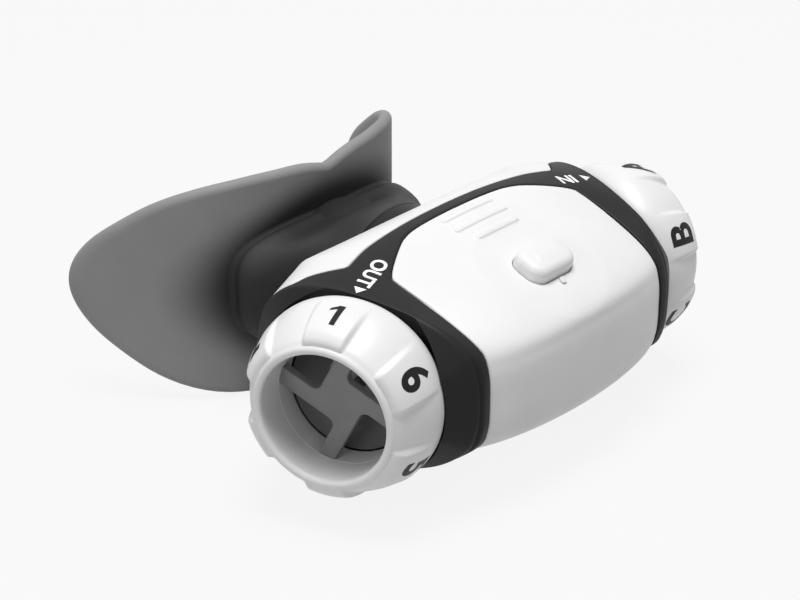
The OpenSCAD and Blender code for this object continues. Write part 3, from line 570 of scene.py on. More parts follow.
@dataclass
class Form:
    """The body's outer form, with the same driving sizes as the part's source."""

    front_depth: float = 20.0
    mid_height: float = 17.1
    waist_depth: float = 17.8
    waist_height: float = 15.5
    end_depth: float = 19.0
    end_height: float = 14.4
    end_back: float = 3.5
    end_wall: float = 1.8
    end_slope: float = math.radians(49)
    dial_gap: float = 0.15
    dial_x: float = 32.0
    dial_yaw: float = math.radians(16.2)
    turn_power: float = 4.3
    crest_r: float = 1.0
    crest_share: float = 0.4
    waist_share: float = 0.78
    recess_r: float = 15.2
    bore_r: float = 12.81
    seam_x: float = 20.9
    seam_rise: float = 7.4
    seam_flare: float = 0.18
    mid: Array = field(init=False)
    waist: Array = field(init=False)
    end: Array = field(init=False)
    front_edge: Array = field(init=False)
    rear_edge: Array = field(init=False)
    stop_u: Array = field(init=False)
    stop_at: Array = field(init=False)

    def __post_init__(self) -> None:
        """Lay out the sections and the seams."""
        mid = [(1, 0), (0.985, 0.3), (0.915, 0.495), (0.55, 0.735), (0.05, 0.925)]
        mid += [(-0.33, 1), (-0.62, 0.925), (-0.85, 0.71), (-0.94, 0.36), (-0.96, 0)]
        waist = [(1, 0), (0.985, 0.3), (0.89, 0.51), (0.56, 0.71), (0.04, 0.915)]
        waist += [(-0.36, 1), (-0.72, 0.955), (-0.94, 0.8), (-1.02, 0.45), (-1.04, 0)]
        end = [(1, 0), (0.979, 0.306), (0.889, 0.549), (0.626, 0.792), (0.21, 0.94)]
        end += [(-0.21, 0.997), (-0.568, 0.924), (-0.79, 0.69), (-0.874, 0.347), (-0.89, 0)]
        self.mid = self._whole(mid, self.front_depth, self.mid_height)
        self.waist = self._whole(waist, self.waist_depth, self.waist_height)
        self.end = self._whole(end, self.end_depth, self.end_height)
        front = [(0, 1), (0.25, 1), (0.47, 0.97), (0.6, 0.87), (0.7, 0.71), (0.82, 0.48)]
        front += [(0.92, 0.27), (0.98, 0.1), (1, -0.04), (1.04, -1.5), (1.06, -3.5)]
        rear = [(0, 1), (0.4, 0.99), (0.75, 0.92), (0.92, 0.815), (1, 0.77), (1.04, 0.83), (1.1, 0.98)]
        rear += [(1.19, 1.2), (1.25, 1.29), (1.275, 1.38), (1.31, 1.68), (1.4, 2.5)]
        self.front_edge = self._edge(front, 22.2, 6.5)
        self.rear_edge = self._edge(rear, 24.2, 9.2)
        self._find_stops()

    def _find_stops(self) -> None:
        """Find how far the slope of the body's end runs before it meets the dial's recess."""
        self.stop_u = np.linspace(0, len(self.end), 721)
        at = np.linspace(0, 1, 401)
        inset, back = self._slope(at)
        open_yet = np.ones(len(self.stop_u), bool)
        self.stop_at = np.ones(len(self.stop_u))
        for share, depth, place in zip(at, inset, back):
            flat = self.section(self.stop_u, np.ones(len(self.stop_u)), np.full(len(self.stop_u), depth))
            met = (np.hypot(*flat.T) <= self.recess_r) & (place <= self.end_back) & open_yet
            self.stop_at[met] = share
            open_yet &= ~met

    def _slope(self, share: Array) -> tuple[Array, Array]:
        """Return the inset and the distance behind the dial, along the rounded edge and the slope."""
        turn = np.clip(share / self.crest_share, 0, 1) * self.end_slope
        inset = self.crest_r * (1 - np.cos(turn))
        back = self.end_back + self.crest_r * (math.tan(self.end_slope / 2) - np.sin(turn))
        rise = np.clip((share - self.crest_share) / (1 - self.crest_share), 0, 1) * (back - self.dial_gap)
        return inset + rise * math.tan(self.end_slope), back - rise

    @staticmethod
    def _whole(half: list[tuple[float, float]], depth: float, height: float) -> Array:
        """Return a closed section from the shares of its upper half."""
        upper = np.array(half) * np.array([depth, height])
        return np.vstack([upper, upper[-2:0:-1] * np.array([1, -1])])

    @staticmethod
    def _edge(shares: list[tuple[float, float]], half_width: float, depth: float) -> Array:
        """Return a seam in plan, from one side to the other."""
        half = line_through(np.array(shares) * np.array([half_width, depth]), 6)
        return np.vstack([half[::-1] * np.array([-1, 1]), half[1:]])

    def section(self, u: Array, s: Array, inset: Array) -> Array:
        """Return points of the cross-section.

        Args:
            u: place round the section, in control points.
            s: share of the half length.
            inset: depth inside the skin.

        Returns:
            Forward and upward distances, one pair per value.
        """
        to_waist = (np.minimum(s / self.waist_share, 1) ** 2)[:, None]
        to_end = np.maximum((s - self.waist_share) / (1 - self.waist_share), 0)[:, None]

        def loop(at: Array) -> Array:
            """Blend the three sections."""
            middle, waist = curve(self.mid, at, True), curve(self.waist, at, True)
            body = middle + (waist - middle) * to_waist
            return body + (curve(self.end, at, True) - body) * to_end

        along = unit(loop(u + 0.01) - loop(u - 0.01))
        outward = np.stack([along[:, 1], -along[:, 0]], axis=1)
        return loop(u) - outward * inset[:, None]

    def _stand(self, v: Array, s: Array, back: Array, flat: Array) -> Array:
        """Stand the sections' points up in space, each in its own turned plane."""
        to_dial = s**self.turn_power
        turn = self.dial_yaw * to_dial
        x0 = s * (self.dial_x - back * math.cos(self.dial_yaw))
        y0 = to_dial * back * math.sin(self.dial_yaw)
        side = np.sign(v) + (v == 0)
        return np.stack([side * (x0 - flat[:, 0] * np.sin(turn)), y0 - flat[:, 0] * np.cos(turn), flat[:, 1]], 1)

    def place(self, uv: Array) -> Array:
        """Return the skin's points: 0 to 1 the flank, then slope, recess, the recess's floor and the bore."""
        u, v = uv[:, 0], uv[:, 1]
        reach = np.abs(v)
        s = np.minimum(reach, 1)
        stop = np.interp(u % len(self.end), self.stop_u, self.stop_at)
        inset, back = self._slope(np.clip(reach - 1, 0, 1) * stop)
        back = np.where(reach < 1, self.end_back + (back - self.end_back) * smoothstep(0.86, 1, reach), back)
        back = back + (self.end_back - back) * np.clip(reach - 2, 0, 1) + self.end_wall * np.clip(reach - 4, 0, 1)
        flat = self.section(u, s, inset)
        flat = flat + (unit(flat) * self.bore_r - flat) * np.clip(reach - 3, 0, 1)[:, None]
        return self._stand(v, s, back, flat)

    def lining(self, uv: Array, wall: float) -> Array:
        """Return the points that lie a wall's thickness behind the skin's."""
        u, v = uv[:, 0], uv[:, 1]
        reach = np.abs(v)
        s = np.minimum(reach, 1)
        back = self.end_back + self.end_wall * smoothstep(0.8, 1, reach)
        flat = self.section(u, s, np.full(len(u), wall))
        flat = flat + (unit(flat) * self.bore_r - flat) * np.clip((reach - 1) / 3, 0, 1)[:, None]
        return self._stand(v, s, back, flat)

    def net(self, columns_per_span: int = 13) -> Net:
        """Return a fresh net over the whole skin."""
        ends = [2.5, 3, 3.15, 3.6, 3.9, 4, 4.15, 5]
        rows = np.concatenate([np.linspace(0, 1, 62), 1 + np.linspace(0, 1, 13)[1:], ends])
        v = np.concatenate([-rows[::-1], rows[1:]])
        u = np.linspace(0, len(self.mid), len(self.mid) * columns_per_span + 1)
        grid_u, grid_v = np.meshgrid(u, v)
        uv = np.stack([grid_u.ravel(), grid_v.ravel()], 1)
        return Net(uv, grid_faces(len(v), len(u)), self.place)

    def front_seam(self, p: Array) -> Array:
        """Return the distance to the front shell's seam, negative inside the shell."""
        plan = self._plan_distance(p, self.front_edge)
        side = np.abs(p[:, 0]) - self.seam_x - self.seam_flare * np.maximum(np.abs(p[:, 2]) - self.seam_rise, 0)
        soft = 0.7
        step = np.clip(0.5 + 0.5 * (plan - side) / soft, 0, 1)
        return side + (plan - side) * step + soft * step * (1 - step)

    def rear_seam(self, p: Array) -> Array:
        """Return the distance to the rear shell's seam, negative inside the shell."""
        return -self._plan_distance(p, self.rear_edge)

    @staticmethod
    def _plan_distance(p: Array, edge: Array) -> Array:
        """Return the distance to a seam seen from above, positive behind it."""
        behind = p[:, 1] - np.interp(p[:, 0], edge[:, 0], edge[:, 1])
        return np.where(behind < 0, -1, 1) * distance_to_line(p[:, :2], edge)

    def top(self, y: float) -> float:
        """Return the height of the skin's top at the middle, at a distance behind the dial line."""
        u = np.linspace(0, len(self.mid) / 2, 400)
        flat = self.section(u, np.zeros_like(u), np.zeros_like(u))
        return float(np.interp(y, -flat[:, 0], flat[:, 1]))


@dataclass
class Slope:
    """A tilted frame on the body's top: +Z out of the shell."""

    form: Form
    y: float
    tilt: float

    def matrix(self) -> Matrix:
        """Return the frame as a matrix in millimetres."""
        place = Matrix.Translation((0, self.y, self.form.top(self.y)))
        return place @ Matrix.Rotation(self.tilt, 4, "X")

    def local(self, p: Array) -> Array:
        """Return points in the tilted frame."""
        inverse = np.array(self.matrix().inverted())
        return p @ inverse[:3, :3].T + inverse[:3, 3]

    def world(self, p: Array) -> Array:
        """Return points of the tilted frame in the body's frame."""
        matrix = np.array(self.matrix())
        return p @ matrix[:3, :3].T + matrix[:3, 3]


@dataclass
class Shells:
    """The black frame and the two white shells, cut from one skin."""

    form: Form
    paint: Paintbox
    gap: float = 0.12
    wall: float = 1.5
    frame_wall: float = 1.4
    edge_r: float = 0.32
    dish_r: float = 10.7
    dish_depth: float = 0.5
    button_half: tuple[float, float] = (4.96, 3.26)
    button_corner: float = 2.46
    rib_lines: tuple[tuple[float, float, float], ...] = ((0, 4.5, 12), (-0.2, 1.6, 12.4), (0.1, -1.3, 9.8))
    rib_w: float = 1.0
    rib_h: float = 0.26
    neck_hole_r: float = 13.3
    light_y: float = -14.1
    light_hole_r: float = 0.4

    def __post_init__(self) -> None:
        """Set out the tilted frames of the button and the light."""
        self.button = Slope(self.form, -10.3, math.radians(22))
        self.light = Slope(self.form, self.light_y, math.radians(32))

    def _levels(self, sign: float) -> list[float]:
        """Return the level lines that shape a rounded seam edge."""
        half = self.gap / 2
        return [sign * (half + self.edge_r * share) for share in (0, 0.06, 0.22, 0.5, 1)]

    def _button_edge(self, p: Array) -> Array:
        """Return the distance to the button's hole, negative in the hole."""
        q = self.button.local(p)
        flat = rounded_box(q[:, 0], q[:, 1], *self.button_half, self.button_corner)
        return np.where(q[:, 2] > -4, flat, FAR)

    def _light_edge(self, p: Array) -> Array:
        """Return the distance to the light's hole, negative in the hole."""
        q = self.light.local(p)
        return np.where(q[:, 2] > -3, np.hypot(q[:, 0], q[:, 1]) - self.light_hole_r, FAR)

    def _rib_edge(self, p: Array) -> Array:
        """Return the distance to the nearest raised rib, negative on the rib."""
        best = np.full(len(p), FAR)
        for x, y, length in self.rib_lines:
            edge = rounded_box(p[:, 0] - x, p[:, 1] - y, length / 2, self.rib_w / 2, self.rib_w / 2)
            best = np.minimum(best, edge)
        return np.where(p[:, 2] > 8, best, FAR)

    def _dish_edge(self, p: Array) -> Array:
        """Return the distance to the dish's rim, negative in the dish."""
        q = self.button.local(p)
        return np.where(q[:, 2] > -6, np.hypot(q[:, 0], q[:, 1]) - self.dish_r, FAR)

    def _finish(
        self, name: str, net: Net, edges: list[Field], finish: bpy.types.Material, lining: float = 0.0
    ) -> bpy.types.Object:
        """Round a trimmed skin's edges, close it and add it.

        Args:
            name: the new object's name.
            net: the trimmed skin.
            edges: distances to the edges that get rounded.
            finish: the material.
            lining: depth of the inner side under the skin, or 0 for a shell's wall.

        Returns:
            The new object.
        """
        net = net.welded()
        points, normals = net.points(), net.normals()
        sink = np.zeros(len(points))
        for edge in edges:
            sink = np.maximum(sink, round_over(edge(points), self.edge_r))
        lift = self._relief(points) if name == "front_cover" else np.zeros(len(points))
        outer = points + normals * (lift - sink)[:, None]
        inner = self.form.lining(net.uv, lining) if lining else points - normals * self.wall
        return add_piece(name, *thicken(outer, inner, net.faces), finish)

    def _relief(self, p: Array) -> Array:
        """Return the height of the dish and the ribs on the front shell."""
        ring = 1 + self._dish_edge(p) / self.dish_r
        dish = -self.dish_depth * np.clip(1 - ring**2, 0, 1)
        return dish + self.rib_h * (1 - smoothstep(-0.16, 0.1, self._rib_edge(p)))

    def front(self) -> bpy.types.Object:
        """Build the cover of the electronics unit, with its dish, ribs and holes."""
        half = self.gap / 2
        net = self.form.net().cut(self.form.front_seam, [-half]).keep(lambda p: self.form.front_seam(p) + half)
        net.cut(self.form.front_seam, self._levels(-1)[1:])
        net.cut(self._dish_edge, [0.35, 0.0, -0.5])
        net.cut(self._rib_edge, [0.1, 0.04, -0.03, -0.1, -0.16])
        net.cut(self._button_edge, [0.0]).cut(self._light_edge, [0.0])
        net = net.keep(lambda p: -self._button_edge(p)).keep(lambda p: -self._light_edge(p))
        net.cut(self._button_edge, [0.02, 0.08, 0.17, self.edge_r])
        net.cut(self._light_edge, [0.06, 0.2])
        edges: list[Field] = [
            lambda p: -self.form.front_seam(p) - half,
            self._button_edge,
            lambda p: self._light_edge(p) + 0.15,
        ]
        piece = self._finish("front_cover", net, edges, self.paint.white)
        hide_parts("front_shell")
        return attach(piece, Body.UNIT.value)

    def rear(self) -> bpy.types.Object:
        """Build the rear shell with its round neck opening."""
        half = self.gap / 2

        def hole(p: Array) -> Array:
            """Return the distance to the neck's opening, negative in it."""
            return np.where(p[:, 1] > 5, np.hypot(p[:, 0], p[:, 2]) - self.neck_hole_r, FAR)

        net = self.form.net().cut(self.form.rear_seam, [-half]).keep(lambda p: self.form.rear_seam(p) + half)
        net.cut(self.form.rear_seam, self._levels(-1)[1:])
        net = net.cut(hole, [0.0]).keep(lambda p: -hole(p)).cut(hole, [0.02, 0.08, 0.17, self.edge_r])
        edges: list[Field] = [lambda p: -self.form.rear_seam(p) - half, hole]
        piece = self._finish("rear_cover", net, edges, self.paint.white)
        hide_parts("rear_shell")
        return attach(piece, Body.ROOT.value)

    def frame(self) -> bpy.types.Object:
        """Build the black frame: bands, bridges and collars, with the ledges inside."""
        half = self.gap / 2
        net = self.form.net().cut(self.form.front_seam, [half]).keep(lambda p: half - self.form.front_seam(p))
        net = net.cut(self.form.rear_seam, [half]).keep(lambda p: half - self.form.rear_seam(p))
        net.cut(self.form.front_seam, self._levels(1)[1:]).cut(self.form.rear_seam, self._levels(1)[1:])
        edges: list[Field] = [
            lambda p: self.form.front_seam(p) - half,
            lambda p: self.form.rear_seam(p) - half,
        ]
        band = self._finish("black_frame", net, edges, self.paint.black, self.wall + self.frame_wall)
        self._add_ledge(band)
        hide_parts("frame")
        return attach(band, Body.ROOT.value)

    def _add_ledge(self, band: bpy.types.Object) -> None:
        """Join the ledges that the shells sit on to the frame."""

        def box(p: Array) -> Array:
            """Return the distance to the ledges' box, negative inside."""
            return np.maximum.reduce([np.abs(p[:, 0]) - 19.5, -4.5 - p[:, 1], p[:, 1] - 14.5])

        net = self.form.net(6).cut(box, [0.0]).keep(box).welded()
        points, normals = net.points(), net.normals()
        outer = points - normals * (self.wall + self.gap)
        inner = points - normals * (self.wall + self.frame_wall)
        ledge = add_piece("ledge", *thicken(outer, inner, net.faces), self.paint.black)
        joined = bmesh.new()
        joined.from_mesh(band.data)
        joined.from_mesh(ledge.data)
        joined.to_mesh(band.data)
        joined.free()
        bpy.data.objects.remove(ledge)


@dataclass
class Dial:
    """One turning dial with grips, port, spider and printed marks."""

    form: Form
    paint: Paintbox
    side: int
    marks: str
    dial_r: float = 15.0
    dial_len: float = 9.0
    lip_r: float = 11.3
    lip_round: float = 0.72
    grip_r: float = 12.8
    grip_end: float = 8.1
    port_r: float = 9.9
    settings: int = 6
    back_z: float = -3.3
    bore_end: float = -0.8
    bore_step: float = 0.03
    spider_z: float = 1.6
    spider_t: float = 1.4
    arm_w: float = 2.7
    arm_off: float = 2.25
    arm_fillet: float = 1.2
    spider_turn: float = math.radians(-27)
    plate_hole_r: float = 1.5
    plate_back: tuple[float, float] = (8.8, -5.4)
    mark_mm: float = 7.0
    one_mm: float = 5.6
    mark_z: float = 4.15

    @property
    def body(self) -> Body:
        """Return the body that the dial is."""
        return Body.OUT_DIAL if self.side < 0 else Body.IN_DIAL

    def world(self, p: Array) -> Array:
        """Place points of the dial's own frame, whose +Z leaves the body."""
        yaw = -self.form.dial_yaw if self.side > 0 else math.pi + self.form.dial_yaw
        turn = Matrix.Rotation(yaw, 3, "Z") @ Matrix.Rotation(math.pi / 2, 3, "Y")
        return p @ np.array(turn).T + np.array([self.side * self.form.dial_x, 0, 0])

    def _valley(self) -> Array:
        """Return the profile between two grips, from the back out to the lip."""
        z = np.array([0.55, 1.2, 2.0, 3.0, 4.0, 5.0, 6.0, 7.0, 7.7, 8.2])
        r = self.dial_r - (self.dial_r - self.lip_r) * (z / 8.75) ** 1.65
        return np.stack([r, z], 1)

    def _grip(self) -> Array:
        """Return the profile on a grip, rounded down to the lip."""
        z = np.array([0.55, 1.2, 2.1, 3.2, 4.4, 5.6, 6.7, 7.5, 8.1, 8.55])
        r = self.dial_r - (self.dial_r - self.grip_r) * (z / self.grip_end) ** 2.2
        r[-2:] = [12.5, 11.85]
        return np.stack([r, z], 1)

    def _profiles(self) -> tuple[Array, Array]:
        """Return both full profiles, from the back's inside round to the bore's end."""
        taper = [(13.1, -3.3), (13.42, -3.18), (14.05, -2.5), (14.6, -1.6), (14.9, -0.75), (14.99, -0.05)]
        back = np.array([(10.7, self.back_z), *taper])
        centre = np.array([(self.lip_r + self.port_r) / 2, self.dial_len - self.lip_round])
        wide = (self.lip_r - self.port_r) / 2
        angles = np.radians(np.arange(12, 181, 24))
        lip = np.stack([centre[0] + wide * np.cos(angles), centre[1] + self.lip_round * np.sin(angles)], 1)
        bore = np.array([[self.port_r, z] for z in (7.6, 6.4, 5.2, 4, 3)])
        narrow = self.port_r - self.bore_step
        ending = np.array([[narrow, 2.98], [narrow, self.bore_end], [10.7, self.bore_end]])
        parts = [np.vstack([back, side, lip, bore, ending]) for side in (self._valley(), self._grip())]
        return parts[0], parts[1]

    def _columns(self) -> Array:
        """Return the angles of the columns, closer together at the grips' flanks."""
        half = [0, 3, 6, 9, 11, 12.2, 13.2, 14, 14.7, 15.4, 16.1, 16.9, 18, 19.6, 22, 25, 28]
        sector = sorted({-a for a in half} | set(half) | {30})
        pitch = 360 / self.settings
        return np.radians([180 + pitch * i + a for i in range(self.settings) for a in sector])

    def _on_grip(self, angle: Array) -> Array:
        """Return 1 on a grip and 0 between grips."""
        pitch = 2 * math.pi / self.settings
        off = np.degrees(np.abs((angle - math.pi + pitch / 2) % pitch - pitch / 2))
        return 1 - smoothstep(13.2, 16.9, off)

    def ring(self) -> bpy.types.Object:
        """Build the dial's ring with grips, lip and port."""
        valley, grip = self._profiles()
        angles = self._columns()
        share = self._on_grip(angles)[None, :, None]
        flat = valley[:, None, :] * (1 - share) + grip[:, None, :] * share
        r, z = flat[..., 0], np.broadcast_to(flat[..., 1], flat.shape[:2])
        local = np.stack([r * np.cos(angles), r * np.sin(angles), z], 2).reshape(-1, 3)
        faces = grid_faces(len(valley) + 1, len(angles), True)
        count = len(local)
        closed = [[i % count for i in face] for face in faces]
        name = f"{self.body.value}_ring"
        piece = add_piece(name, self.world(local), closed, self.paint.dial, 50)
        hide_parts(self.body.value)
        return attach(piece, self.body.value)

    def _cross(self) -> Array:
        """Return the spider's outline: four arms set off to one side, with rounded inner corners."""
        low, high, fillet = self.arm_off - self.arm_w / 2, self.arm_off + self.arm_w / 2, self.arm_fillet
        reach = self.port_r + 0.05
        quarter = [(math.sqrt(reach**2 - low**2), low), (math.sqrt(reach**2 - high**2), high)]
        for angle in np.radians(np.linspace(270, 180, 7)):
            quarter.append((fillet - low + fillet * math.cos(angle), high + fillet + fillet * math.sin(angle)))
        points = []
        for i in range(4):
            turn = self.spider_turn + i * math.pi / 2
            c, s = math.cos(turn), math.sin(turn)
            points += [(x * c - y * s, x * s + y * c) for x, y in quarter]
        return np.array(points)

    def aperture(self) -> bpy.types.Object:
        """Build the dark plate behind the spider, which stands still: a dished disc."""
        count, (edge_r, back_z) = 72, self.plate_back
        angles = np.linspace(0, 2 * math.pi, count, endpoint=False)
        profile = [(9.6, -0.9), (edge_r, -2.0), (7.2, -3.0), (4.8, -3.8), (self.plate_hole_r, -4.2)]
        profile += [(self.plate_hole_r, back_z), (edge_r, back_z), profile[0]]
        circle = np.column_stack([np.cos(angles), np.sin(angles)])
        points = np.vstack([np.column_stack([r * circle, np.full(count, z)]) for r, z in profile])
        faces = grid_faces(len(profile), count, True)
        piece = add_piece(f"{self.body.value}_aperture", self.world(points), faces, self.paint.grey)
        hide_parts(self.body.value.replace("dial", "aperture_plate"))
        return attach(piece, Body.ROOT.value)

    def spider(self) -> bpy.types.Object:
        """Build the cross in the port, with softened edges."""
        outline = self._cross()
        count, soft, top = len(outline), 0.16, self.spider_z + self.spider_t
        steps = [(outline, self.spider_z), (outline, top - soft)]
        steps += [(self._inset(outline, soft * 0.35), top - soft * 0.3), (self._inset(outline, soft), top)]
        points = np.vstack([np.column_stack([flat, np.full(count, z)]) for flat, z in steps])
        faces = grid_faces(len(steps), count, True) + [list(range(3 * count, 4 * count)), list(range(count))[::-1]]
        piece = add_piece(f"{self.body.value}_spider", self.world(points), faces, self.paint.spider)
        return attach(piece, self.body.value)

    @staticmethod
    def _inset(outline: Array, depth: float) -> Array:
        """Return an outline moved inward along its own normals."""
        along = unit(np.roll(outline, -1, 0) - np.roll(outline, 1, 0))
        return outline - depth * np.stack([along[:, 1], -along[:, 0]], 1)

    def _radius(self, angle: Array, z: Array) -> Array:
        """Return the outer radius at an angle and a height."""
        valley, grip = self._valley(), self._grip()
        share = self._on_grip(angle)
        low, high = np.interp(z, valley[:, 1], valley[:, 0]), np.interp(z, grip[:, 1], grip[:, 0])
        return low * (1 - share) + high * share

    def print_marks(self) -> list[bpy.types.Object]:
        """Print one figure or letter on each grip, its top towards the body."""
        printed = []
        for i, mark in enumerate(self.marks):
            at = math.pi + i * 2 * math.pi / self.settings * self.side
            glyph, faces = flagged_one(self.one_mm) if mark == "1" else letters(mark, self.mark_mm)
            z = self.mark_z - glyph[:, 1]
            angle = at - glyph[:, 0] / self.dial_r
            r = self._radius(angle, z) + 0.025
            local = np.stack([r * np.cos(angle), r * np.sin(angle), z], 1)
            piece = add_piece(f"{self.body.value}_mark_{mark}", self.world(local), faces, self.paint.ink)
            printed.append(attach(piece, self.body.value))
        return printed


def letters(words: str, height: float, weight: float = 0.03, cell: float = 0.3) -> tuple[Array, Faces]:
    """Return flat lettering, centred on its middle and cut small enough to bend.

    Args:
        words: what it says.
        height: size of the type in millimetres.
        weight: how much its strokes are thickened.
        cell: distance between the cuts.

    Returns:
        The 2-D points and the faces.
    """
    text = bpy.data.curves.new("lettering", "FONT")
    text.body = words
    text.size = height
    text.offset = weight * height
    text.align_x, text.align_y = "CENTER", "CENTER"
    text.resolution_u = 6
    carrier = bpy.data.objects.new("lettering", text)
    bpy.context.collection.objects.link(carrier)
    bpy.context.view_layer.update()
    mesh = bpy.data.meshes.new_from_object(carrier.evaluated_get(bpy.context.evaluated_depsgraph_get()))
    bpy.data.objects.remove(carrier)
    work = bmesh.new()
    work.from_mesh(mesh)
    for axis in (0, 1):
        low = min(v.co[axis] for v in work.verts)
        high = max(v.co[axis] for v in work.verts)
        normal = Vector((1, 0, 0)) if axis == 0 else Vector((0, 1, 0))
        for place in np.arange(low + cell, high, cell):
            parts = work.verts[:] + work.edges[:] + work.faces[:]
            bmesh.ops.bisect_plane(work, geom=parts, plane_co=normal * float(place), plane_no=normal)
    points = np.array([[v.co.x, v.co.y] for v in work.verts])
    points -= (points.min(0) + points.max(0)) / 2
    work.verts.index_update()
    faces = [[v.index for v in f.verts] for f in work.faces]
    work.free()
    bpy.data.meshes.remove(mesh)
    return points, faces


def flagged_one(height: float) -> tuple[Array, Faces]:
    """Return a figure one with a flag at its head, cut small enough to bend."""
    stem, head, foot = height * 0.165, height * 0.36, -height * 0.36
    flag, drop = height * 0.2, height * 0.16
    right, rows = stem * 0.9, 8
    heights = np.linspace(foot, head - drop, rows)
    points = [(x, y) for y in heights for x in (right - stem, right)]
    faces = [[2 * i, 2 * i + 1, 2 * i + 3, 2 * i + 2] for i in range(rows - 1)]
    points += [(right - stem, head), (right, head)]
    points += [(right - stem - flag, head - drop * share) for share in (0.95, 1.55)]
    base = 2 * rows
    faces += [[base - 2, base - 1, base + 1, base], [base - 2, base, base + 2, base + 3]]
    return np.array(points), faces


@dataclass
class Labels:
    """The white OUT and IN marks with arrows on the frame's top."""

    form: Form
    paint: Paintbox
    words: tuple[str, str] = ("OUT", "IN")
    middle: tuple[tuple[float, float], tuple[float, float]] = ((-23.3, 3.1), (23.4, 3.15))
    arrow_from: tuple[float, float] = (3.95, 3.1)
    arrow_half: float = 1.0
    arrow_len: float = 1.45
    size: float = 3.3

    def add(self, frame_piece: bpy.types.Object) -> None:
        """Print both labels on the frame, each along its dial's axis."""
        skin = frame_piece.data
        polygons = [list(p.vertices) for p in skin.polygons]
        surface = BVHTree.FromPolygons([v.co.copy() for v in skin.vertices], polygons)
        for words, middle, start in zip(self.words, self.middle, self.arrow_from):
            side = math.copysign(1, middle[0])
            points, faces = letters(words, self.size)
            tip = np.array([(start, self.arrow_half), (start, -self.arrow_half), (start + self.arrow_len, 0.0)])
            faces = faces + [[len(points), len(points) + 1, len(points) + 2][:: int(-side)]]
            flat = np.vstack([points, tip * np.array([-side, 1])])
            along = np.array([-math.cos(self.form.dial_yaw), side * math.sin(self.form.dial_yaw)])
            upward = np.array([-along[1], along[0]])
            x, y = (np.array(middle) + flat[:, :1] * along + flat[:, 1:] * upward).T
            above = to_row(np.stack([x, y, np.full(len(x), 30.0)], 1))
            hits = [surface.ray_cast(Vector(p), Vector((0, 0, -1)))[0] for p in above]
            points_3d = np.array([[h.x / MM, h.y / MM + CENTRE_Y, h.z / MM + 0.02] for h in hits])
            piece = add_piece(f"label_{words}", points_3d, faces, self.paint.mark)
            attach(piece, Body.ROOT.value)


@dataclass
class PowerButton:
    """The soft raised button in its dish."""

    shells: Shells
    paint: Paintbox
    half: tuple[float, float] = (4.8, 3.1)
    corner: float = 2.3
    top: float = 1.75
    foot: float = -2.6
    round_r: float = 1.25
    crown: float = 0.18
    columns: int = 88

    def _outline(self, inset: float) -> Array:
        """Return the button's outline, moved inward."""
        corner = max(self.corner - inset, 0.05)
        half_x, half_y = self.half[0] - inset - corner, self.half[1] - inset - corner
        angles = (np.arange(self.columns) + 0.5) * 2 * math.pi / self.columns
        c, s = np.cos(angles), np.sin(angles)
        return np.stack([half_x * np.sign(c) + corner * c, half_y * np.sign(s) + corner * s], 1)

    def add(self) -> bpy.types.Object:
        """Build the button."""
        arc = np.radians([0, 12, 26, 40, 54, 68, 82])
        steps = [(0.0, self.foot), (0.0, -0.8)]
        steps += [(self.round_r * (1 - math.cos(a)), self.top - self.round_r * (1 - math.sin(a))) for a in arc]
        steps += [(1.6, self.top + 0.05), (2.1, self.top + 0.1), (2.6, self.top + 0.14)]
        count = self.columns
        rings = [np.column_stack([self._outline(i), np.full(count, z)]) for i, z in steps]
        ridge = np.column_stack([rings[-1][:, 0], np.zeros(count), np.full(count, self.top + self.crown)])
        rings.append(ridge)
        faces = grid_faces(len(rings), count, True) + [list(range(count))[::-1]]
        world = self.shells.button.world(np.vstack(rings))
        piece = add_piece("power_button_cap", world, faces, self.paint.white, 60)
        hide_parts("power_button")
        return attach(piece, Body.BUTTON.value)


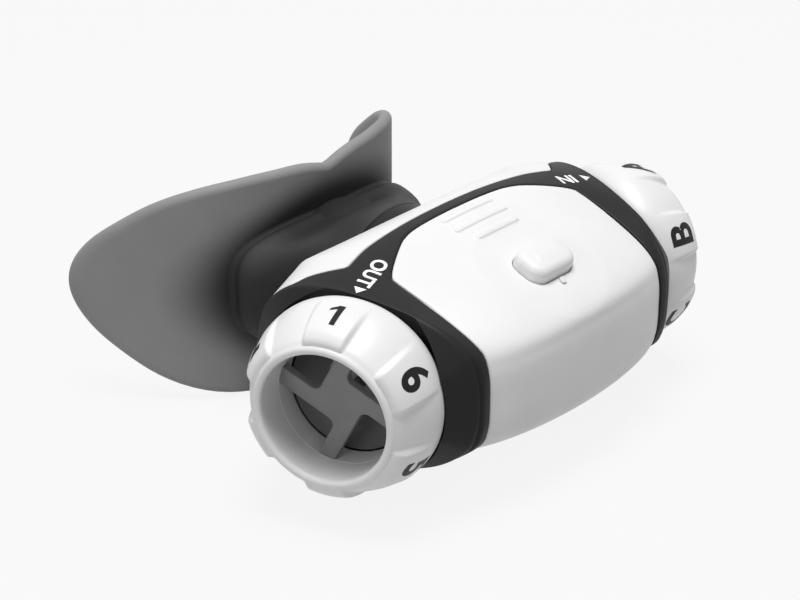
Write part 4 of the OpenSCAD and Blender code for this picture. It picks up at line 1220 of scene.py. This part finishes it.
@dataclass
class Mouthpiece:
    """The silicone mouthpiece: neck, curved lip flange, airway slot and bite tabs."""

    form: Form
    paint: Paintbox
    flange_y: float = 32.7
    bend: tuple[float, float] = (0.0055, 1.483e-5)
    thick: float = 2.2
    columns: int = 144
    root_r: float = 13.1
    neck_y: float = 24.0
    neck_half: tuple[float, float] = (19.2, 10.2)
    shoulder: tuple[tuple[float, float, float], ...] = (
        *((0.3, 8.2, 0.0), (0.55, 7.0, 0.0), (0.78, 5.6, -0.1), (0.92, 4.4, -0.1)),
        *((1.0, 3.3, 0.0), (1.0, 2.5, 0.2), (1.0, 1.8, 0.25), (1.0, 1.1, 0.05)),
        *((1.0, 0.6, -0.35), (1.0, 0.25, -0.4), (1.0, 0.05, 0.0), (1.0, -0.3, 0.9)),
    )
    bore_r: float = 11.3
    slot_half: tuple[float, float] = (8.2, 5.0)

    def flange_at(self, x: Array) -> Array:
        """Return the flange's front face: its distance from the dial line."""
        return self.flange_y + self.bend[0] * x**2 + self.bend[1] * x**4

    def _outline(self) -> Array:
        """Return the flange's outline, with a notch over and under its middle."""
        quarter = [(0, 16.9), (2.3, 17.55), (5.2, 18.2), (8.8, 18.55), (15.8, 18.65), (22.5, 17.6), (27.5, 14.9)]
        quarter += [(31.3, 10), (33.3, 5.2), (34, 0)]
        q = np.array(quarter)
        loop = np.vstack([q, q[-2::-1] * [1, -1], q[1:] * [-1, -1], q[-2:0:-1] * [-1, 1]])
        smooth = curve(loop, np.linspace(0, len(loop), len(loop) * 12, endpoint=False), True)
        angle = np.unwrap(np.arctan2(smooth[:, 1] / 18.0, smooth[:, 0] / 34.0))
        order = np.argsort(angle)
        want = np.linspace(-math.pi, math.pi, self.columns, endpoint=False) + angle.min() + math.pi
        x = np.interp(want, angle[order], smooth[order, 0], period=2 * math.pi)
        z = np.interp(want, angle[order], smooth[order, 1], period=2 * math.pi)
        return np.stack([x, z], 1)

    def _slot_outline(self, outline: Array) -> Array:
        """Return the airway slot's outline, point by point towards the flange's."""
        angle = np.arctan2(outline[:, 1] / 18.0, outline[:, 0] / 34.0)
        c, s = np.cos(angle), np.sin(angle)
        square = 4.0
        reach = (np.abs(c) ** square + np.abs(s) ** square) ** (-1 / square)
        return np.stack([self.slot_half[0] * c * reach, self.slot_half[1] * s * reach], 1)

    def _flange(self) -> tuple[Array, Faces]:
        """Return the curved flange as one closed ring round the slot."""
        outer = self._outline()
        inner = self._slot_outline(outer)
        half = self.thick / 2
        shares = 1 - (1 - np.linspace(0, 1, 20)) ** 1.5
        inward = unit(np.roll(outer, -1, 0) - np.roll(outer, 1, 0))
        inward = np.stack([inward[:, 1], -inward[:, 0]], 1)
        inward *= -np.sign((inward * outer).sum(1, keepdims=True))
        rim = outer + inward * half
        arc = np.radians([20, 45, 70, 90, 110, 135, 160])
        profile = [(inner + (rim - inner) * share, 0.0) for share in shares]
        profile += [(rim - inward * half * math.sin(a), half * (1 - math.cos(a))) for a in arc]
        profile += [(inner + (rim - inner) * share, self.thick) for share in shares[::-1]]
        rings = []
        for flat, depth in profile:
            x = flat[:, 0]
            slope = 2 * self.bend[0] * x + 4 * self.bend[1] * x**3
            length = np.hypot(1, slope)
            rings.append(np.stack([x - depth * slope / length, self.flange_at(x) + depth / length, flat[:, 1]], 1))
        return self._closed(rings)

    @staticmethod
    def _closed(rings: list[Array]) -> tuple[Array, Faces]:
        """Return the points and faces of rings joined in a row, the last one to the first."""
        count, last = len(rings[0]), (len(rings) - 1) * len(rings[0])
        faces = grid_faces(len(rings), count, True)
        faces += [[last + i, last + (i + 1) % count, (i + 1) % count, i] for i in range(count)]
        return np.vstack(rings), faces

    def _neck_ring(self, y: float, share: float, grow: float) -> Array:
        """Return one ring of the neck, from circle to oval."""
        angle = np.linspace(0, 2 * math.pi, self.columns, endpoint=False)
        w = self.root_r + (self.neck_half[0] - self.root_r) * share + grow
        h = self.root_r + (self.neck_half[1] - self.root_r) * share + grow
        power = 1 - 0.42 * share
        c, s = np.cos(angle), np.sin(angle)
        x, z = w * np.sign(c) * np.abs(c) ** power, h * np.sign(s) * np.abs(s) ** power
        return np.stack([x, np.full(len(x), y), z], 1)

    def _neck(self) -> tuple[Array, Faces]:
        """Return the neck: outside from its root over the shoulder to the flange, then the bore back."""
        steps = [(19.62, 0.0, -0.5), (19.75, 0.0, -0.12), (20.2, 0.0, 0.0), (21.4, 0.06, 0), (22.8, 0.2, 0)]
        rings = [self._neck_ring(*step) for step in steps]
        for share, drop, grow in self.shoulder:
            ring = self._neck_ring(0.0, share, grow)
            to_face = 1 - drop / (self.flange_y - self.neck_y)
            ring[:, 1] = self.neck_y + (self.flange_at(ring[:, 0]) - self.neck_y) * to_face
            rings.append(ring)
        for y, r in ((33.2, 10.5), (31.0, self.bore_r), (25.0, self.bore_r), (19.62, self.bore_r)):
            rings.append(self._neck_ring(y, 0.0, r - self.root_r))
        return self._closed(rings)

    def _tab(self, side: int) -> tuple[Array, Faces]:
        """Return one bite tab: a web with a crosswise pad, all rounded."""
        steps = [(-1.6, 1.7, 2.6), (0.0, 1.2, 2.0), (1.4, 0.85, 1.7), (3.6, 0.8, 1.8), (4.8, 0.95, 2.9)]
        steps += [(5.3, 1.1, 3.8), (6.3, 1.2, 4.1), (7.0, 1.0, 3.9), (7.35, 0.55, 3.3), (7.4, 0.05, 0.6)]
        count, power, tab_x = 28, 0.6, 15.3
        angle = np.linspace(0, 2 * math.pi, count, endpoint=False)
        c, s = np.cos(angle), np.sin(angle)
        x, z = np.sign(c) * np.abs(c) ** power, np.sign(s) * np.abs(s) ** power
        foot = self.flange_at(np.array([15.5]))[0] + self.thick
        rows = [np.stack([side * tab_x + w * x, np.full(count, foot + y), h * z], 1) for y, w, h in steps]
        points = np.vstack(rows)
        ends = [list(range(count)), list(range(len(points) - count, len(points)))[::-1]]
        return points, grid_faces(len(rows), count, True) + ends

    def add(self) -> bpy.types.Object:
        """Build the mouthpiece as one soft piece."""
        points: list[Array] = []
        faces: Faces = []
        for part, part_faces in (self._flange(), self._neck(), self._tab(-1), self._tab(1)):
            start = sum(len(p) for p in points)
            points.append(part)
            faces += [[i + start for i in face] for face in part_faces]
        piece = add_piece("soft_mouthpiece", np.vstack(points), faces, self.paint.rubber, 75)
        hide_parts("mouthpiece")
        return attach(piece, Body.MOUTHPIECE.value)


def seen_rays(tree: bpy.types.NodeTree) -> bpy.types.NodeSocket:
    """Return 1 for the rays that show a surface to the camera, directly or by gloss or glass."""
    rays = tree.nodes.new("ShaderNodeLightPath")
    seen = rays.outputs["Is Camera Ray"]
    for kind in ("Is Glossy Ray", "Is Transmission Ray"):
        either = tree.nodes.new("ShaderNodeMath")
        either.operation = "MAXIMUM"
        tree.links.new(seen, either.inputs[0])
        tree.links.new(rays.outputs[kind], either.inputs[1])
        seen = either.outputs[0]
    return seen


@dataclass
class Studio:
    """Camera, lamps, world and floor."""

    place: tuple[float, float, float] = (-0.2489, -0.21737, 0.1565)
    right: tuple[float, float, float] = (0.6549, -0.7557, 0.0003)
    down: tuple[float, float, float] = (-0.3283, -0.2849, -0.9006)
    ahead: tuple[float, float, float] = (0.6806, 0.5897, -0.4347)
    lens_mm: float = 103.47
    floor_z: float = -0.0188
    floor_white: float = 0.88
    floor_grey: float = 0.5
    room: float = 0.31

    def camera(self) -> None:
        """Create the camera at the photograph's viewing angle."""
        data = bpy.data.cameras.new("camera")
        data.lens, data.sensor_width = self.lens_mm, 36.0
        data.clip_start, data.clip_end = 0.01, 10.0
        camera = bpy.data.objects.new("camera", data)
        axes = Matrix((self.right, [-c for c in self.down], [-c for c in self.ahead])).transposed()
        camera.matrix_world = Matrix.Translation(self.place) @ axes.to_4x4()
        bpy.context.collection.objects.link(camera)
        bpy.context.scene.camera = camera

    @staticmethod
    def lamp(name: str, place: tuple[float, float, float], size: float, power: float) -> None:
        """Add a square area lamp that faces the trainer."""
        data = bpy.data.lights.new(name, "AREA")
        data.size, data.energy = size, power
        lamp = bpy.data.objects.new(name, data)
        lamp.location = place
        lamp.rotation_euler = (-Vector(place)).to_track_quat("-Z", "Y").to_euler()
        bpy.context.collection.objects.link(lamp)

    def world(self) -> None:
        """Light softly from all round, and show white to the camera, to gloss and through glass."""
        world = bpy.data.worlds.new("soft_room")
        world.use_nodes = True
        tree = world.node_tree
        tree.nodes.clear()
        output = tree.nodes.new("ShaderNodeOutputWorld")
        light, white = tree.nodes.new("ShaderNodeBackground"), tree.nodes.new("ShaderNodeBackground")
        light.inputs["Color"].default_value = (0.9, 0.9, 0.9, 1)
        light.inputs["Strength"].default_value = self.room
        white.inputs["Color"].default_value = (1, 1, 1, 1)
        mix = tree.nodes.new("ShaderNodeMixShader")
        tree.links.new(seen_rays(tree), mix.inputs[0])
        tree.links.new(light.outputs[0], mix.inputs[1])
        tree.links.new(white.outputs[0], mix.inputs[2])
        tree.links.new(mix.outputs[0], output.inputs[0])
        bpy.context.scene.world = world

    def floor(self) -> None:
        """Lay the pale floor."""
        mesh = bpy.data.meshes.new("floor")
        half = 3.0
        corners = [(-half, -half), (half, -half), (half, half), (-half, half)]
        mesh.from_pydata([(x, y, self.floor_z) for x, y in corners], [], [[0, 1, 2, 3]])
        shader = Shader("pale_floor")
        shader.set(base_color=(self.floor_grey,) * 3, roughness=0.9, specular_ior_level=0.1)
        kinds = ("Is Camera Ray", "Is Glossy Ray", "Is Transmission Ray")
        camera, glossy, through = (shader.node("ShaderNodeLightPath", {}, {}, kind) for kind in kinds)
        rays = camera + glossy + through
        white = shader.node("ShaderNodeEmission", {}, {"Color": (1.0, 1.0, 1.0), "Strength": 1.0})
        lit = Value(shader, shader.base.outputs[0])
        mixed = shader.node("ShaderNodeMixShader", {}, {0: rays * self.floor_white, 1: lit, 2: white})
        shader.connect(shader.output.inputs["Surface"], mixed)
        mesh.materials.append(shader.material)
        floor = bpy.data.objects.new("floor", mesh)
        bpy.context.collection.objects.link(floor)

    def build(self) -> None:
        """Set up everything round the object."""
        self.camera()
        self.world()
        self.floor()
        self.lamp("key", (-0.05, -0.05, 0.85), 0.4, 6.6)
        self.lamp("left_fill", (-0.8, -0.1, 0.3), 0.4, 1.0)
        bpy.context.scene.view_settings.view_transform = "Standard"


def dress_nodes(frame: dict, paint: Paintbox) -> None:
    """Give every CAD node that stays in view its finish."""
    slots = {entry["node"]: Slot(entry["material_slot"]) for entry in frame["record"]["subparts"]}
    for name, node in frame["nodes"].items():
        finish = paint.for_slot(slots[name])
        if not node.material_slots:
            node.data.materials.append(finish)
        for slot in node.material_slots:
            slot.material = finish


def main() -> None:
    """Build the trainer's looks in order."""
    logging.basicConfig(level=logging.INFO, format="%(message)s")
    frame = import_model()
    paint = Paintbox()
    form = Form()
    dress_nodes(frame, paint)
    Studio().build()
    shells = Shells(form, paint)
    black = shells.frame()
    LOG.info("frame: %d faces", len(black.data.polygons))
    LOG.info("front cover: %d faces", len(shells.front().data.polygons))
    LOG.info("rear cover: %d faces", len(shells.rear().data.polygons))
    Labels(form, paint).add(black)
    PowerButton(shells, paint).add()
    for side, marks in ((-1, "165432"), (1, "ABCDEF")):
        dial = Dial(form, paint, side, marks)
        LOG.info("%s: %d faces", dial.body.value, len(dial.ring().data.polygons))
        dial.spider()
        dial.aperture()
        dial.print_marks()
    LOG.info("mouthpiece: %d faces", len(Mouthpiece(form, paint).add().data.polygons))


if __name__ == "__main__":
    main()
